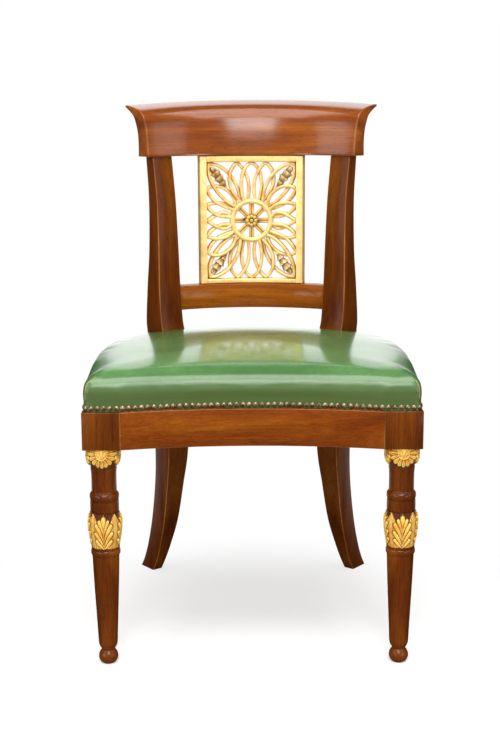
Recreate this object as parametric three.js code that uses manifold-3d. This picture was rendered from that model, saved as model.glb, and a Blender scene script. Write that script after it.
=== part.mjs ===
// A klismos side chair: mahogany frame with sabre rear legs, turned and parcel-gilt front legs,
// a rolled crest rail, a pierced giltwood splat and a stuffed-over leather seat.
// Millimetres, +Z up. The sitter faces -Y, so the front legs stand at -Y, and left is -X.
// The chair is drawn from the axes of its front legs, and is centred over its footprint at the end.
import * as THREE from 'three';
import { mergeVertices, toCreasedNormals } from 'three/addons/utils/BufferGeometryUtils.js';
import Module from 'manifold-3d';

const wasm = await Module();
wasm.setup();

// Clearances
const fit = 0.3;
const overrun = 2;

// Seat frame
const legSpacing = 463;
const blockSide = 58;
const seatRailTop = 415;
const seatRailHeight = 59;
const rebateHeight = 15;
const rebateDepth = 5;
const frontRailThickness = 32;
const frontRailSagitta = 25;
const sideRailThickness = 28;
const sideStraightEnd = 150;
const sideCurveRun = 115;
const sideCurveSet = 20.5;
const sideCurveReturn = 39;
const sideEndSet = 2.4;
const sideEndAngle = 4.3;
const rearRailSet = 12;
const rearRailThickness = 26;
const railEndAngle = 2.5;
const padCornerRadius = 9;

// Back: everything in it lies on arcs about one upright axis
const backAxisDepth = 148;
const backRadius = 310;
const stileAngle = 32.2;
const legSplay = 38;
const crestBottom = 782.5;
const crestEndHeight = 89.5;
const crestArchRise = 9;
const crestSet = 16.6;
const crestReach = 70;
const crestHalfAngle = 38.3;
const lowerRailBottom = 506;
const lowerRailHeight = 43.2;
const lowerRailSet = 21;
const lowerRailThickness = 26;

// Rear legs, each one board from floor to crest
const rearLegWidth = 48;
const rearLegDepth = 53;
const rearLegSweep = 80;
const rearLegSeatSet = 52;
const rearLegArris = 1.5;
const rearFootRounding = 3;

// Turned front legs
const capitalLength = 32;
const capitalRadius = 27.5;
const shaftLength = 43;
const shaftRadius = 19.8;
const collarLength = 29;
const collarRadius = 22.6;
const acanthusLength = 57;
const acanthusRadius = 27.5;
const lowerLegRadius = 23;
const ankleRadius = 14.9;
const footBallRadius = 15.3;
const footBallHeight = 22.5;
const ankleRise = 12;
const lowerRingHeight = 25;
const footNeckRadius = 10.6;
const footPadRadius = 8.5;
const spigotRadius = 11;
const spigotDepth = 24;
const carvingDepth = 1.6;

// Joints
const tenonLength = 16;
const tenonThickness = 12;
const tenonHeight = 36;
const lowerTenonHeight = 26;
const crestTenonLength = 30;
const crestTenonWidth = 26;
const crestTenonThickness = 11;

// Corner blocks and their screws
const cornerBlockHeight = 44;
const frontCornerReach = 98;
const frontCornerBack = 88;
const rearCornerThickness = 24;
const rearCornerOuterReach = 78;
const rearCornerInnerReach = 52;
const rearCornerBack = 20;
const rearCornerInnerBack = 32;
const rearCornerFaceOuter = 45;
const rearCornerFaceInner = 30;
const screwPitch = 24;
const screwRadius = 2.2;
const screwHeadRadius = 4.2;
const screwHeadHeight = 3;
const screwGrip = 16;

// Splat
const splatHalfWidth = 96.3;
const splatStileWidth = 12.2;
const splatTopBar = 12.2;
const splatBottomBar = 9;
const splatSet = 7;
const splatThickness = 17;
const splatArris = 1.6;
const splatTenon = 10;
const splatTenonThickness = 7;
const splatGroove = 3;
const splatBarTenon = 4;
const splatShoulderShare = 0.25;
const fretThickness = 9;
const loopCount = 20;
const loopBand = 5.4;
const loopRootRun = 12;
const loopTiltShare = 0.08;
const budLength = 56;
const budHalfWidth = 7;
const budStem = 2.2;
const budEndSet = 9;

// Roundel in the middle of the splat
const roundelRadius = 39.8;
const roundelInnerRadius = 31.2;
const roundelSet = 1.4;
const roundelThickness = 11;
const roundelShoulderShare = 0.25;
const roundelSpokes = 8;
const spokeSetShare = 1.1;
const spokeRadius = 2.3;
const hubRadius = 10.5;
const hubThickness = 8;
const beadRadius = 3.3;
const beadCount = 8;

// Upholstery
const webWidth = 50;
const webThickness = 1.6;
const webEndSet = 4;
const webRun = 8;
const webLegGap = 0.4;
const webCrosswisePitch = 75;
const webCrosswiseFirst = 65;
const webCount = 4;
const clothThickness = 1;
const clothSet = 9;
const leatherThickness = 1.5;
const skirtBottomGap = 1;
const padEdgeTop = 470.5;
const padCrown = 20.5;
const padEdgeRadius = 14;
const crownRoundness = 2.2;
const padBulge = 3.2;

// How finely round stretches are stepped
const turnSteps = 18;
const carvedSteps = 24;
const carvedLobes = 8;
const arcSteps = 10;
const barSteps = 8;
const curveSteps = 6;
const sideSteps = 7;
const cornerSteps = 3;
const screwSteps = 8;
const spokeSteps = 6;
const beadSteps = 6;
const budSteps = 8;
const legSteps = 20;
const crownSteps = 4;
const edgeSteps = 3;
const creaseAngle = Math.PI / 6;

// Derived places
const legHalfSpacing = legSpacing / 2;
const blockHalf = blockSide / 2;
const blockInner = legHalfSpacing - blockHalf;
const seatHalfWidth = legHalfSpacing + blockHalf;
const blockBottom = seatRailTop - seatRailHeight;
const upholsteredTop = seatRailTop + rebateHeight;
const railMiddle = (seatRailTop + blockBottom) / 2;
const rearRailRadius = backRadius - rearRailSet;
const crestFrontRadius = backRadius - crestSet;
const lowerRailRadius = backRadius - lowerRailSet;
const splatFront = lowerRailRadius + splatSet;
const splatRadius = splatFront + splatThickness / 2;
const roundelFront = splatFront + roundelSet;
const rearEdge = backAxisDepth + rearRailRadius;
const seatHalfDepth = (rearEdge + blockHalf) / 2;
const seatMiddle = (rearEdge - blockHalf) / 2;
const frontArcRadius = (blockInner ** 2 + frontRailSagitta ** 2) / (2 * frontRailSagitta);
const frontArcCentre = frontRailSagitta - blockHalf - frontArcRadius;
const lowerRailTop = lowerRailBottom + lowerRailHeight;
const stileTop = crestBottom - fit;
const splatOpening = splatHalfWidth - splatStileWidth;
const splatOpeningBottom = lowerRailTop + splatBottomBar;
const splatOpeningTop = crestBottom - splatTopBar;
const splatMiddle = (splatOpeningTop + splatOpeningBottom) / 2;
const splatOpeningHalf = (splatOpeningTop - splatOpeningBottom) / 2;
const capitalBottom = blockBottom - capitalLength;
const shaftBottom = capitalBottom - shaftLength - collarLength;
const acanthusBottom = shaftBottom - acanthusLength;

// Finishes
const mahogany = { color: 0x6e3214, roughness: 0.32, metalness: 0 };
const gilding = { color: 0xe0b24c, roughness: 0.42, metalness: 0.6 };
const leather = { color: 0x3f6b3c, roughness: 0.38, metalness: 0 };
const beech = { color: 0xb58a5a, roughness: 0.7, metalness: 0 };
const jute = { color: 0xa88c62, roughness: 0.95, metalness: 0 };
const horsehair = { color: 0x5a4632, roughness: 1, metalness: 0 };
const steel = { color: 0x77736c, roughness: 0.45, metalness: 1 };

// Solids

function closedSolid(points, faces) {
  let volume = 0;
  for (const [a, b, c] of faces) {
    volume += points[a].dot(new THREE.Vector3().crossVectors(points[b], points[c]));
  }
  const outward = volume > 0 ? faces : faces.map(([a, b, c]) => [a, c, b]);
  const vertProperties = new Float32Array(points.flatMap((p) => [p.x, p.y, p.z]));
  const triVerts = new Uint32Array(outward.flat());
  return new wasm.Manifold(new wasm.Mesh({ numProp: 3, vertProperties, triVerts }));
}

function solidOf(geometry) {
  const bare = geometry.clone();
  bare.deleteAttribute('normal');
  bare.deleteAttribute('uv');
  const merged = mergeVertices(bare);
  const place = merged.getAttribute('position');
  const points = [];
  for (let i = 0; i < place.count; i += 1) {
    points.push(new THREE.Vector3().fromBufferAttribute(place, i));
  }
  const faces = [];
  for (let i = 0; i < merged.index.count; i += 3) {
    const face = [merged.index.getX(i), merged.index.getX(i + 1), merged.index.getX(i + 2)];
    if (new Set(face).size === 3) {
      faces.push(face);
    }
  }
  return closedSolid(points, faces);
}

function pointsAndFaces(solid) {
  const mesh = solid.getMesh();
  const points = [];
  for (let i = 0; i < mesh.vertProperties.length; i += mesh.numProp) {
    points.push(new THREE.Vector3().fromArray(mesh.vertProperties, i));
  }
  const faces = [];
  for (let i = 0; i < mesh.triVerts.length; i += 3) {
    faces.push([mesh.triVerts[i], mesh.triVerts[i + 1], mesh.triVerts[i + 2]]);
  }
  return { points, faces };
}

function moved(solid, place) {
  const { points, faces } = pointsAndFaces(solid);
  return closedSolid(points.map(place), faces);
}

function mirrored(solid) {
  return moved(solid, (p) => new THREE.Vector3(-p.x, p.y, p.z));
}

function joined(...solids) {
  return solids.reduce((whole, next) => whole.add(next));
}

function cut(solid, ...tools) {
  return tools.reduce((whole, tool) => whole.subtract(tool), solid);
}

// Rings of points, one after another, become one closed body with flat ends.
function loft(section, rings) {
  if (THREE.ShapeUtils.isClockWise(section)) {
    return loft(section.toReversed(), rings.map((ring) => ring.toReversed()));
  }
  const size = section.length;
  const faces = [];
  for (let k = 0; k + 1 < rings.length; k += 1) {
    for (let i = 0; i < size; i += 1) {
      const j = (i + 1) % size;
      const here = k * size;
      const next = here + size;
      faces.push([here + i, here + j, next + j]);
      faces.push([here + i, next + j, next + i]);
    }
  }
  const last = (rings.length - 1) * size;
  for (const [a, b, c] of THREE.ShapeUtils.triangulateShape(section, [])) {
    faces.push([c, b, a]);
    faces.push([a + last, b + last, c + last]);
  }
  return closedSolid(rings.flat(), faces);
}

function block(width, depth, height) {
  return new THREE.BoxGeometry(width, depth, height);
}

function prism(outline, low, high) {
  const shape = new THREE.Shape(outline);
  const geometry = new THREE.ExtrudeGeometry(shape, { depth: high - low, bevelEnabled: false });
  return solidOf(geometry.translate(0, 0, low));
}

function turned(profile, steps) {
  const outline = profile.map(([radius, height]) => new THREE.Vector2(radius, height));
  return new THREE.LatheGeometry(outline, steps).rotateX(Math.PI / 2);
}

function steps(count) {
  return Array.from({ length: count + 1 }, (_, index) => index / count);
}

// The arc of the back

const degree = Math.PI / 180;

function onArc(radius, angle, height) {
  return new THREE.Vector3(radius * Math.sin(angle), backAxisDepth + radius * Math.cos(angle), height);
}

function arcSweep(section, fromAngle, toAngle, count, heightAt) {
  const rings = steps(count).map((share) => {
    const angle = fromAngle + (toAngle - fromAngle) * share;
    return section.map((p) => onArc(p.x, angle, heightAt ? heightAt(p.y, angle) : p.y));
  });
  return loft(section, rings);
}

function rectangle(low, high, bottom, top) {
  return [
    new THREE.Vector2(low, bottom),
    new THREE.Vector2(high, bottom),
    new THREE.Vector2(high, top),
    new THREE.Vector2(low, top),
  ];
}

function arcBar(front, back, bottom, top, fromAngle, toAngle, count) {
  return arcSweep(rectangle(front, back, bottom, top), fromAngle, toAngle, count);
}

// What is drawn flat is bent onto the splat's arc: x runs along the arc, y is depth, z is height.
function bent(solid) {
  return moved(solid, (p) => onArc(splatRadius + p.y, p.x / splatRadius, p.z));
}

// Rear legs stand in upright planes of their own, turned outward by the splay.
// In such a plane, u runs backward from the middle of the back's arc, and w runs inward.

const legOriginU = backRadius * Math.cos((legSplay - stileAngle) * degree);
const legOriginW = backRadius * Math.sin((legSplay - stileAngle) * degree);

function inLegPlane(u, w, height) {
  const alongU = legOriginU + u;
  const alongW = legOriginW + w;
  const x = alongU * Math.sin(legSplay * degree) - alongW * Math.cos(legSplay * degree);
  const y = alongU * Math.cos(legSplay * degree) + alongW * Math.sin(legSplay * degree);
  return new THREE.Vector3(x, backAxisDepth + y, height);
}

function uAtRadius(radius, w) {
  return Math.sqrt(radius ** 2 - (legOriginW + w) ** 2) - legOriginU;
}

function legPlaneBox(fromU, toU, fromW, toW, bottom, top) {
  const section = rectangle(fromU, toU, fromW, toW);
  const rings = [bottom, top].map((height) => section.map((p) => inLegPlane(p.x, p.y, height)));
  return loft(section, rings);
}

// From the floor up: height as a share of the stile's top, how far the front edge has swept
// back, and the depth and width of the section there.
const rearLegShares = [
  [0, 1.02, 0.75, 0.43],
  [0.028, 0.85, 0.76, 0.44],
  [0.072, 0.65, 0.75, 0.53],
  [0.141, 0.4, 0.757, 0.675],
  [0.235, 0.194, 0.766, 0.785],
  [0.322, 0.045, 0.85, 0.915],
  [0.46, 0, 0.97, 0.97],
  [0.53, 0.04, 1, 0.99],
  [0.593, 0.128, 1, 1],
  [0.628, 0.224, 0.906, 1],
  [0.708, 0.286, 0.728, 0.967],
  [0.789, 0.309, 0.594, 0.91],
  [0.903, 0.369, 0.502, 0.85],
  [1, 0.5, 0.42, 0.85],
];

const rearLegOutline = new THREE.CatmullRomCurve3(
  rearLegShares.map(([height, front, depth]) => new THREE.Vector3(front, depth, height)),
);
const rearLegWidths = new THREE.CatmullRomCurve3(
  rearLegShares.map(([height, , , width]) => new THREE.Vector3(width, 0, height)),
);

function rearLegAt(share) {
  const place = rearLegOutline.getPoint(share);
  const front = place.x * rearLegSweep - rearLegSeatSet;
  return {
    height: place.z * stileTop,
    front,
    back: front + place.y * rearLegDepth,
    half: (rearLegWidths.getPoint(share).x * rearLegWidth) / 2,
  };
}

function rearLegSection(station, grown, inset) {
  const front = station.front - grown + inset;
  const back = station.back + grown - inset;
  const half = station.half + grown - inset;
  const arris = rearLegArris;
  return [
    new THREE.Vector2(front, arris - half),
    new THREE.Vector2(front + arris, -half),
    new THREE.Vector2(back - arris, -half),
    new THREE.Vector2(back, arris - half),
    new THREE.Vector2(back, half - arris),
    new THREE.Vector2(back - arris, half),
    new THREE.Vector2(front + arris, half),
    new THREE.Vector2(front, half - arris),
  ];
}

function rearLegBody(grown) {
  const stations = steps(legSteps).map(rearLegAt);
  const rings = stations.map((station) =>
    rearLegSection(station, grown, 0).map((p) => inLegPlane(p.x, p.y, station.height)),
  );
  const foot = stations[0];
  rings[0] = rearLegSection(foot, grown, 0).map((p) => inLegPlane(p.x, p.y, rearFootRounding));
  rings.unshift(
    rearLegSection(foot, grown, rearFootRounding).map((p) => inLegPlane(p.x, p.y, 0)),
  );
  return loft(rearLegSection(foot, grown, 0), rings);
}

// The room both rear legs need in whatever meets them.
function cutForLegs(solid) {
  const leg = rearLegBody(fit);
  return cut(solid, leg, mirrored(leg));
}

// The leg's front edge and half width at a height, read between the two sections that hold it.
function rearLegNear(height) {
  const stations = steps(legSteps).map(rearLegAt);
  const upper = stations.findIndex((station) => station.height >= height);
  const [low, high] = [stations[upper - 1], stations[upper]];
  const share = (height - low.height) / (high.height - low.height);
  const front = THREE.MathUtils.lerp(low.front, high.front, share);
  return { front, half: THREE.MathUtils.lerp(low.half, high.half, share) };
}

// Seat plan, right half from the middle of the front to the middle of the rear

function frontEdgeAt(x) {
  return frontArcCentre + Math.sqrt(frontArcRadius ** 2 - x ** 2);
}

function sideCurve() {
  const end = onArc(backRadius + sideEndSet, (stileAngle + sideEndAngle) * degree, 0);
  return new THREE.CubicBezierCurve(
    new THREE.Vector2(seatHalfWidth, sideStraightEnd),
    new THREE.Vector2(seatHalfWidth, sideStraightEnd + sideCurveRun),
    new THREE.Vector2(seatHalfWidth - sideCurveSet, end.y - sideCurveReturn),
    new THREE.Vector2(end.x, end.y),
  );
}

function seatOutline(inset) {
  const half = [];
  for (const share of steps(curveSteps - 1)) {
    half.push(new THREE.Vector2(share * blockInner, frontEdgeAt(share * blockInner)));
  }
  for (const share of steps(cornerSteps)) {
    const turn = (share * Math.PI) / 2;
    const x = seatHalfWidth - padCornerRadius * (1 - Math.sin(turn));
    const y = padCornerRadius * (1 - Math.cos(turn)) - blockHalf;
    half.push(new THREE.Vector2(x, y));
  }
  half.push(new THREE.Vector2(seatHalfWidth, blockHalf));
  half.push(...sideCurve().getPoints(sideSteps));
  for (const share of steps(curveSteps)) {
    const place = onArc(rearRailRadius, (1 - share) * stileAngle * degree, 0);
    half.push(new THREE.Vector2(place.x, place.y));
  }
  const left = half.slice(1, -1).reverse().map((p) => new THREE.Vector2(-p.x, p.y));
  const wide = (seatHalfWidth - inset) / seatHalfWidth;
  const deep = (seatHalfDepth - inset) / seatHalfDepth;
  return [...half, ...left].map(
    (p) => new THREE.Vector2(p.x * wide, seatMiddle + (p.y - seatMiddle) * deep),
  );
}

// Show wood up to the rail's top, and above it the strip that the leather is nailed to.
function rebated(outline) {
  const showWood = prism(outline, blockBottom, seatRailTop);
  const strip = prism(outline, seatRailTop, upholsteredTop);
  const inside = prism(seatOutline(rebateDepth), seatRailTop, upholsteredTop);
  return showWood.add(strip.intersect(inside));
}

// Tenons, each with the mortise that takes it

function frontRailTenon(grown) {
  const length = tenonLength + overrun + 2 * grown;
  const box = block(length, tenonThickness + 2 * grown, tenonHeight + 2 * grown);
  const y = frontRailThickness / 2 - blockHalf;
  return solidOf(box.translate(blockInner + (tenonLength - overrun) / 2, y, railMiddle));
}

function sideRailFrontTenon(grown) {
  const length = tenonLength + overrun + 2 * grown;
  const box = block(tenonThickness + 2 * grown, length, tenonHeight + 2 * grown);
  const x = seatHalfWidth - sideRailThickness / 2;
  return solidOf(box.translate(x, blockHalf - (tenonLength - overrun) / 2, railMiddle));
}

const stileHalfAtSeat = rearLegNear(railMiddle).half;
const stileHalfAtLowerRail = rearLegNear((lowerRailBottom + lowerRailTop) / 2).half;

function tenonAt(u, faceW, inward, height, middle, grown) {
  const far = faceW + inward * (tenonLength + grown);
  const near = faceW - inward * (overrun + grown);
  return legPlaneBox(
    u - tenonThickness / 2 - grown,
    u + tenonThickness / 2 + grown,
    Math.min(far, near),
    Math.max(far, near),
    middle - height / 2 - grown,
    middle + height / 2 + grown,
  );
}

function sideRailRearTenon(grown) {
  const u = uAtRadius(backRadius, -stileHalfAtSeat) - tenonThickness;
  return tenonAt(u, -stileHalfAtSeat, 1, tenonHeight, railMiddle, grown);
}

function rearRailTenon(grown) {
  const u = uAtRadius(rearRailRadius - rearRailThickness / 2, stileHalfAtSeat);
  return tenonAt(u, stileHalfAtSeat, -1, tenonHeight, railMiddle, grown);
}

function lowerRailTenon(grown) {
  const middle = (lowerRailBottom + lowerRailTop) / 2;
  const u = uAtRadius(lowerRailRadius + lowerRailThickness / 2, stileHalfAtLowerRail);
  return tenonAt(u, stileHalfAtLowerRail, -1, lowerTenonHeight, middle, grown);
}

function crestTenon(grown) {
  const top = rearLegAt(1);
  const u = (top.front + top.back) / 2;
  return legPlaneBox(
    u - crestTenonThickness / 2 - grown,
    u + crestTenonThickness / 2 + grown,
    -crestTenonWidth / 2 - grown,
    crestTenonWidth / 2 + grown,
    stileTop - overrun - grown,
    stileTop + crestTenonLength + grown,
  );
}

const splatTenonAngle = splatTenonThickness / splatRadius / 2;
const splatStileMiddle = (splatHalfWidth - splatStileWidth / 2) / splatRadius;

function splatStileTenon(side, bottom, top, grown) {
  const middle = splatFront + splatThickness / 2;
  const give = grown / splatRadius;
  return arcBar(
    middle - splatTenonThickness / 2 - grown,
    middle + splatTenonThickness / 2 + grown,
    bottom - grown,
    top + grown,
    side * splatStileMiddle - splatTenonAngle - give,
    side * splatStileMiddle + splatTenonAngle + give,
    1,
  );
}

function splatTopTenon(side, grown) {
  return splatStileTenon(side, crestBottom - fit - overrun, crestBottom + splatTenon, grown);
}

function splatBottomTenon(side, grown) {
  return splatStileTenon(side, lowerRailTop - splatTenon, lowerRailTop + fit + overrun, grown);
}

// Screws of the corner blocks: the head is drawn at the origin, and the shank runs along +Y.

function screwBody(length, grown) {
  const profile = [
    [0, -screwHeadHeight - grown],
    [screwHeadRadius + grown, -screwHeadHeight - grown],
    [screwHeadRadius + grown, grown],
    [screwRadius + grown, grown],
    [screwRadius + grown, length + grown],
    [0, length + grown],
  ];
  return turned(profile, screwSteps).rotateX(-Math.PI / 2);
}

function frontScrewPlace(height) {
  const corner = new THREE.Vector3(blockInner, blockHalf, height);
  const inward = new THREE.Vector3(-1, 1, 0).normalize();
  return { corner, inward, reach: frontCornerNeck() };
}

function frontCornerNeck() {
  const sideFace = seatHalfWidth - sideRailThickness - fit;
  const hypotenuse = sideFace - frontCornerBack;
  return (blockInner - blockHalf - hypotenuse) / Math.SQRT2;
}

function frontScrew(height, grown) {
  const { corner, inward, reach } = frontScrewPlace(height);
  const length = reach - screwHeadHeight + screwGrip;
  const head = corner.clone().addScaledVector(inward, reach - screwHeadHeight);
  const geometry = screwBody(length, grown).rotateZ((-3 * Math.PI) / 4);
  return solidOf(geometry.translate(head.x, head.y, head.z));
}

function rearScrew(height, grown) {
  const seatFront = -rearLegSeatSet;
  const head = inLegPlane(seatFront - rearCornerThickness + screwHeadHeight, 0, height);
  const length = rearCornerThickness - screwHeadHeight + screwGrip;
  const geometry = screwBody(length, grown).rotateZ(-legSplay * degree);
  return solidOf(geometry.translate(head.x, head.y, head.z));
}

// Wooden frame, right-hand pieces

const legBlockOutline = rectangle(blockInner, seatHalfWidth, -blockHalf, blockHalf);

function legBlock() {
  const socket = turned(
    [
      [0, blockBottom - overrun],
      [spigotRadius + fit, blockBottom - overrun],
      [spigotRadius + fit, blockBottom + spigotDepth + fit],
      [0, blockBottom + spigotDepth + fit],
    ],
    turnSteps,
  );
  const bored = cut(rebated(legBlockOutline), solidOf(socket.translate(legHalfSpacing, 0, 0)));
  return cut(bored, frontRailTenon(fit), sideRailFrontTenon(fit), ...screwsAt(frontScrew, fit));
}

function screwsAt(screw, grown) {
  return [-1, 1].map((step) => screw(railMiddle + (step * screwPitch) / 2, grown));
}

function frontRailOutline(grown) {
  const end = blockInner - fit;
  const shares = steps(arcSteps).map((share) => 2 * share - 1);
  const back = frontArcRadius + frontRailThickness + grown;
  const face = shares.map((share) => new THREE.Vector2(share * end, frontEdgeAt(share * end)));
  const rear = shares.map((share) => {
    const x = -share * end;
    return new THREE.Vector2(x, frontArcCentre + Math.sqrt(back ** 2 - x ** 2));
  });
  return [...face, ...rear];
}

function frontRail() {
  const tenon = frontRailTenon(0);
  return joined(rebated(frontRailOutline(0)), tenon, mirrored(tenon));
}

function sideRailOutline(grown, spare) {
  const curve = sideCurve();
  const outer = [new THREE.Vector2(seatHalfWidth + spare, blockHalf + fit)];
  const inner = [new THREE.Vector2(seatHalfWidth - sideRailThickness - grown, blockHalf + fit)];
  for (const share of steps(sideSteps)) {
    const place = curve.getPoint(share);
    const along = curve.getTangent(share);
    const inward = new THREE.Vector2(-along.y, along.x);
    outer.push(place.clone().addScaledVector(inward, -spare));
    inner.push(place.clone().addScaledVector(inward, sideRailThickness + grown));
  }
  return [...outer, ...inner.reverse()];
}

function sideRail() {
  const rail = cut(rebated(sideRailOutline(0, 0)), rearLegBody(fit));
  return joined(rail, sideRailFrontTenon(0), sideRailRearTenon(0));
}

function rearRailBar(grown) {
  const front = rearRailRadius - rearRailThickness - grown;
  const reach = (stileAngle - railEndAngle) * degree;
  const low = blockBottom - grown;
  const back = rearRailRadius + grown;
  return arcBar(front, back, low, upholsteredTop, -reach, reach, barSteps);
}

function rearRail() {
  const strip = prism(seatOutline(rebateDepth), seatRailTop, upholsteredTop);
  const showWood = prism(seatOutline(-overrun), blockBottom - overrun, seatRailTop);
  const shaped = rearRailBar(0).intersect(joined(strip, showWood));
  const tenon = rearRailTenon(0);
  return joined(cutForLegs(shaped), tenon, mirrored(tenon));
}

function rearLeg() {
  const mortises = [sideRailRearTenon(fit), rearRailTenon(fit), lowerRailTenon(fit)];
  const leg = joined(rearLegBody(0), crestTenon(0));
  return cut(leg, ...mortises, ...screwsAt(rearScrew, fit));
}

function lowerBackRail() {
  const reach = (stileAngle - railEndAngle) * degree;
  const back = lowerRailRadius + lowerRailThickness;
  const bar = arcBar(
    lowerRailRadius,
    back,
    lowerRailBottom,
    lowerRailTop,
    -reach,
    reach,
    arcSteps,
  );
  const tenon = lowerRailTenon(0);
  const rail = cutForLegs(bar);
  const mortises = [-1, 1].map((side) => splatBottomTenon(side, fit));
  return cut(joined(rail, tenon, mirrored(tenon)), ...mortises);
}

// Section of the crest rail as shares of its reach backward and its height:
// up the hollow front, over the rolled nose, and down the back.
const crestFrontShares = [
  [0, 0],
  [0.04, 0.32],
  [0.1, 0.61],
  [0.21, 0.8],
  [0.375, 0.9],
  [0.62, 0.953],
  [0.9, 0.995],
];
const crestNoseShares = [
  [0.985, 0.995],
  [1, 0.972],
  [0.97, 0.952],
];
const crestBackShares = [
  [0.83, 0.895],
  [0.65, 0.8],
  [0.563, 0.702],
  [0.48, 0.547],
  [0.437, 0.391],
  [0.424, 0.235],
  [0.43, 0],
];

function crestSection() {
  const shares = [...crestFrontShares, ...crestNoseShares, ...crestBackShares];
  return shares.map(
    ([back, up]) =>
      new THREE.Vector2(crestFrontRadius + back * crestReach, crestBottom + up * crestEndHeight),
  );
}

function crestRail() {
  const half = crestHalfAngle * degree;
  const arched = (height, angle) => {
    const rise = crestArchRise * (1 - (angle / half) ** 2);
    return crestBottom + (height - crestBottom) * (1 + rise / crestEndHeight);
  };
  const rail = arcSweep(crestSection(), -half, half, arcSteps + 2, arched);
  const tenons = [crestTenon(fit), mirrored(crestTenon(fit))];
  const splatTenons = [-1, 1].map((side) => splatTopTenon(side, fit));
  return cut(rail, ...tenons, ...splatTenons);
}

// Turned front leg, drawn on its own axis

// Rows hold a radius and a height, each as a share of the collar's, the shaft's, the foot ball's
// or the ring's own size.
const collarShares = [
  [0.97, 0],
  [1, 0.17],
  [1, 0.66],
  [0.96, 0.72],
  [1, 0.78],
  [0.98, 0.9],
  [0.9, 1],
];
const shaftShares = [
  [1, 0.12],
  [1, 0.88],
  [1.03, 1],
];
const footBallShares = [
  [0.86, 0.2],
  [1, 0.5],
  [0.86, 0.8],
];
const lowerRingShares = [
  [0.9, 0],
  [0.94, 0.5],
  [1, 0.6],
  [1, 0.9],
  [0.96, 1],
];

function scaledProfile(shares, radius, bottom, length) {
  return shares.map(([wide, up]) => [wide * radius, bottom + up * length]);
}

function shaftProfile() {
  const socketTop = shaftBottom + spigotDepth + fit;
  const collarTop = shaftBottom + collarLength;
  const spigotTop = blockBottom + spigotDepth;
  return [
    [0, socketTop],
    [spigotRadius + fit, socketTop],
    [spigotRadius + fit, shaftBottom],
    ...scaledProfile(collarShares, collarRadius, shaftBottom, collarLength),
    ...scaledProfile(shaftShares, shaftRadius, collarTop, shaftLength - fit),
    [spigotRadius, capitalBottom - fit],
    [spigotRadius, spigotTop],
    [0, spigotTop],
  ];
}

function lowerLegProfile() {
  const ringBottom = acanthusBottom - fit - lowerRingHeight;
  const ankle = footBallHeight + ankleRise;
  const spigotTop = shaftBottom + spigotDepth;
  return [
    [0, 0],
    [footPadRadius, 0],
    ...scaledProfile(footBallShares, footBallRadius, 0, footBallHeight),
    [footNeckRadius, footBallHeight],
    [ankleRadius, ankle],
    ...scaledProfile(lowerRingShares, lowerLegRadius, ringBottom, lowerRingHeight),
    [spigotRadius, acanthusBottom - fit],
    [spigotRadius, spigotTop],
    [0, spigotTop],
  ];
}

// A carved sleeve round the spigot: its leaves stand out as lobes with valleys between them.
function carvedSleeve(shares, bottom, length, widest) {
  const bore = spigotRadius + fit;
  const outer = shares.map(([radius, height]) => [radius * widest, bottom + height * length]);
  const top = outer[outer.length - 1][1];
  const profile = [[bore, bottom], ...outer, [bore, top], [bore, bottom]];
  const geometry = turned(profile, carvedSteps);
  const place = geometry.getAttribute('position');
  for (let i = 0; i < place.count; i += 1) {
    const x = place.getX(i);
    const y = place.getY(i);
    const radius = Math.hypot(x, y);
    const lobe = Math.abs(Math.cos((Math.atan2(y, x) * carvedLobes) / 2));
    const give = radius > bore + carvingDepth ? carvingDepth * (1 - lobe) : 0;
    const scale = (radius - give) / radius;
    place.setXYZ(i, x * scale, y * scale, place.getZ(i));
  }
  return solidOf(geometry);
}

const capitalShares = [
  [0.75, 0],
  [0.78, 0.08],
  [0.9, 0.22],
  [1, 0.42],
  [1, 0.92],
  [0.97, 1],
];
const acanthusShares = [
  [0.84, 0],
  [0.9, 0.12],
  [0.97, 0.3],
  [1, 0.52],
  [0.98, 0.74],
  [0.93, 0.9],
  [0.85, 1],
];

function atFrontLeg(solid) {
  return moved(solid, (p) => new THREE.Vector3(p.x + legHalfSpacing, p.y, p.z));
}

function legCapital() {
  const length = capitalLength - fit;
  return atFrontLeg(carvedSleeve(capitalShares, capitalBottom, length, capitalRadius));
}

function legAcanthus() {
  const length = acanthusLength - fit;
  return atFrontLeg(carvedSleeve(acanthusShares, acanthusBottom, length, acanthusRadius));
}

// Corner blocks

const cornerBlockBottom = railMiddle - cornerBlockHeight / 2;
const cornerBlockTop = railMiddle + cornerBlockHeight / 2;

function frontCornerBlock() {
  const sideFace = seatHalfWidth - sideRailThickness - fit;
  const front = frontCornerBack - frontCornerReach;
  const outline = [
    new THREE.Vector2(sideFace, frontCornerBack),
    new THREE.Vector2(sideFace, front),
    new THREE.Vector2(sideFace - frontCornerReach, front),
  ];
  const grownOutline = frontRailOutline(fit);
  const low = cornerBlockBottom - overrun;
  const rail = prism(grownOutline, low, cornerBlockTop + overrun);
  const leg = rectangle(blockInner - fit, seatHalfWidth, -blockHalf, blockHalf + fit);
  const legPost = prism(leg, low, cornerBlockTop + overrun);
  const body = prism(outline, cornerBlockBottom, cornerBlockTop);
  return cut(body, rail, legPost, ...screwsAt(frontScrew, fit));
}

function rearCornerBlock() {
  const face = -rearLegSeatSet - rearCornerThickness;
  const outline = [
    new THREE.Vector2(-rearCornerBack, -rearCornerOuterReach),
    new THREE.Vector2(-rearCornerBack, 0),
    new THREE.Vector2(-rearCornerInnerBack, rearCornerInnerReach),
    new THREE.Vector2(face, rearCornerFaceInner),
    new THREE.Vector2(face, -rearCornerFaceOuter),
  ];
  const rings = [cornerBlockBottom, cornerBlockTop].map((height) =>
    outline.map((p) => inLegPlane(p.x, p.y, height)),
  );
  const side = prism(sideRailOutline(fit, rearCornerOuterReach), blockBottom, seatRailTop);
  const body = loft(outline, rings);
  return cut(body, side, rearRailBar(fit), rearLegBody(fit), ...screwsAt(rearScrew, fit));
}

// Splat frame

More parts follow.
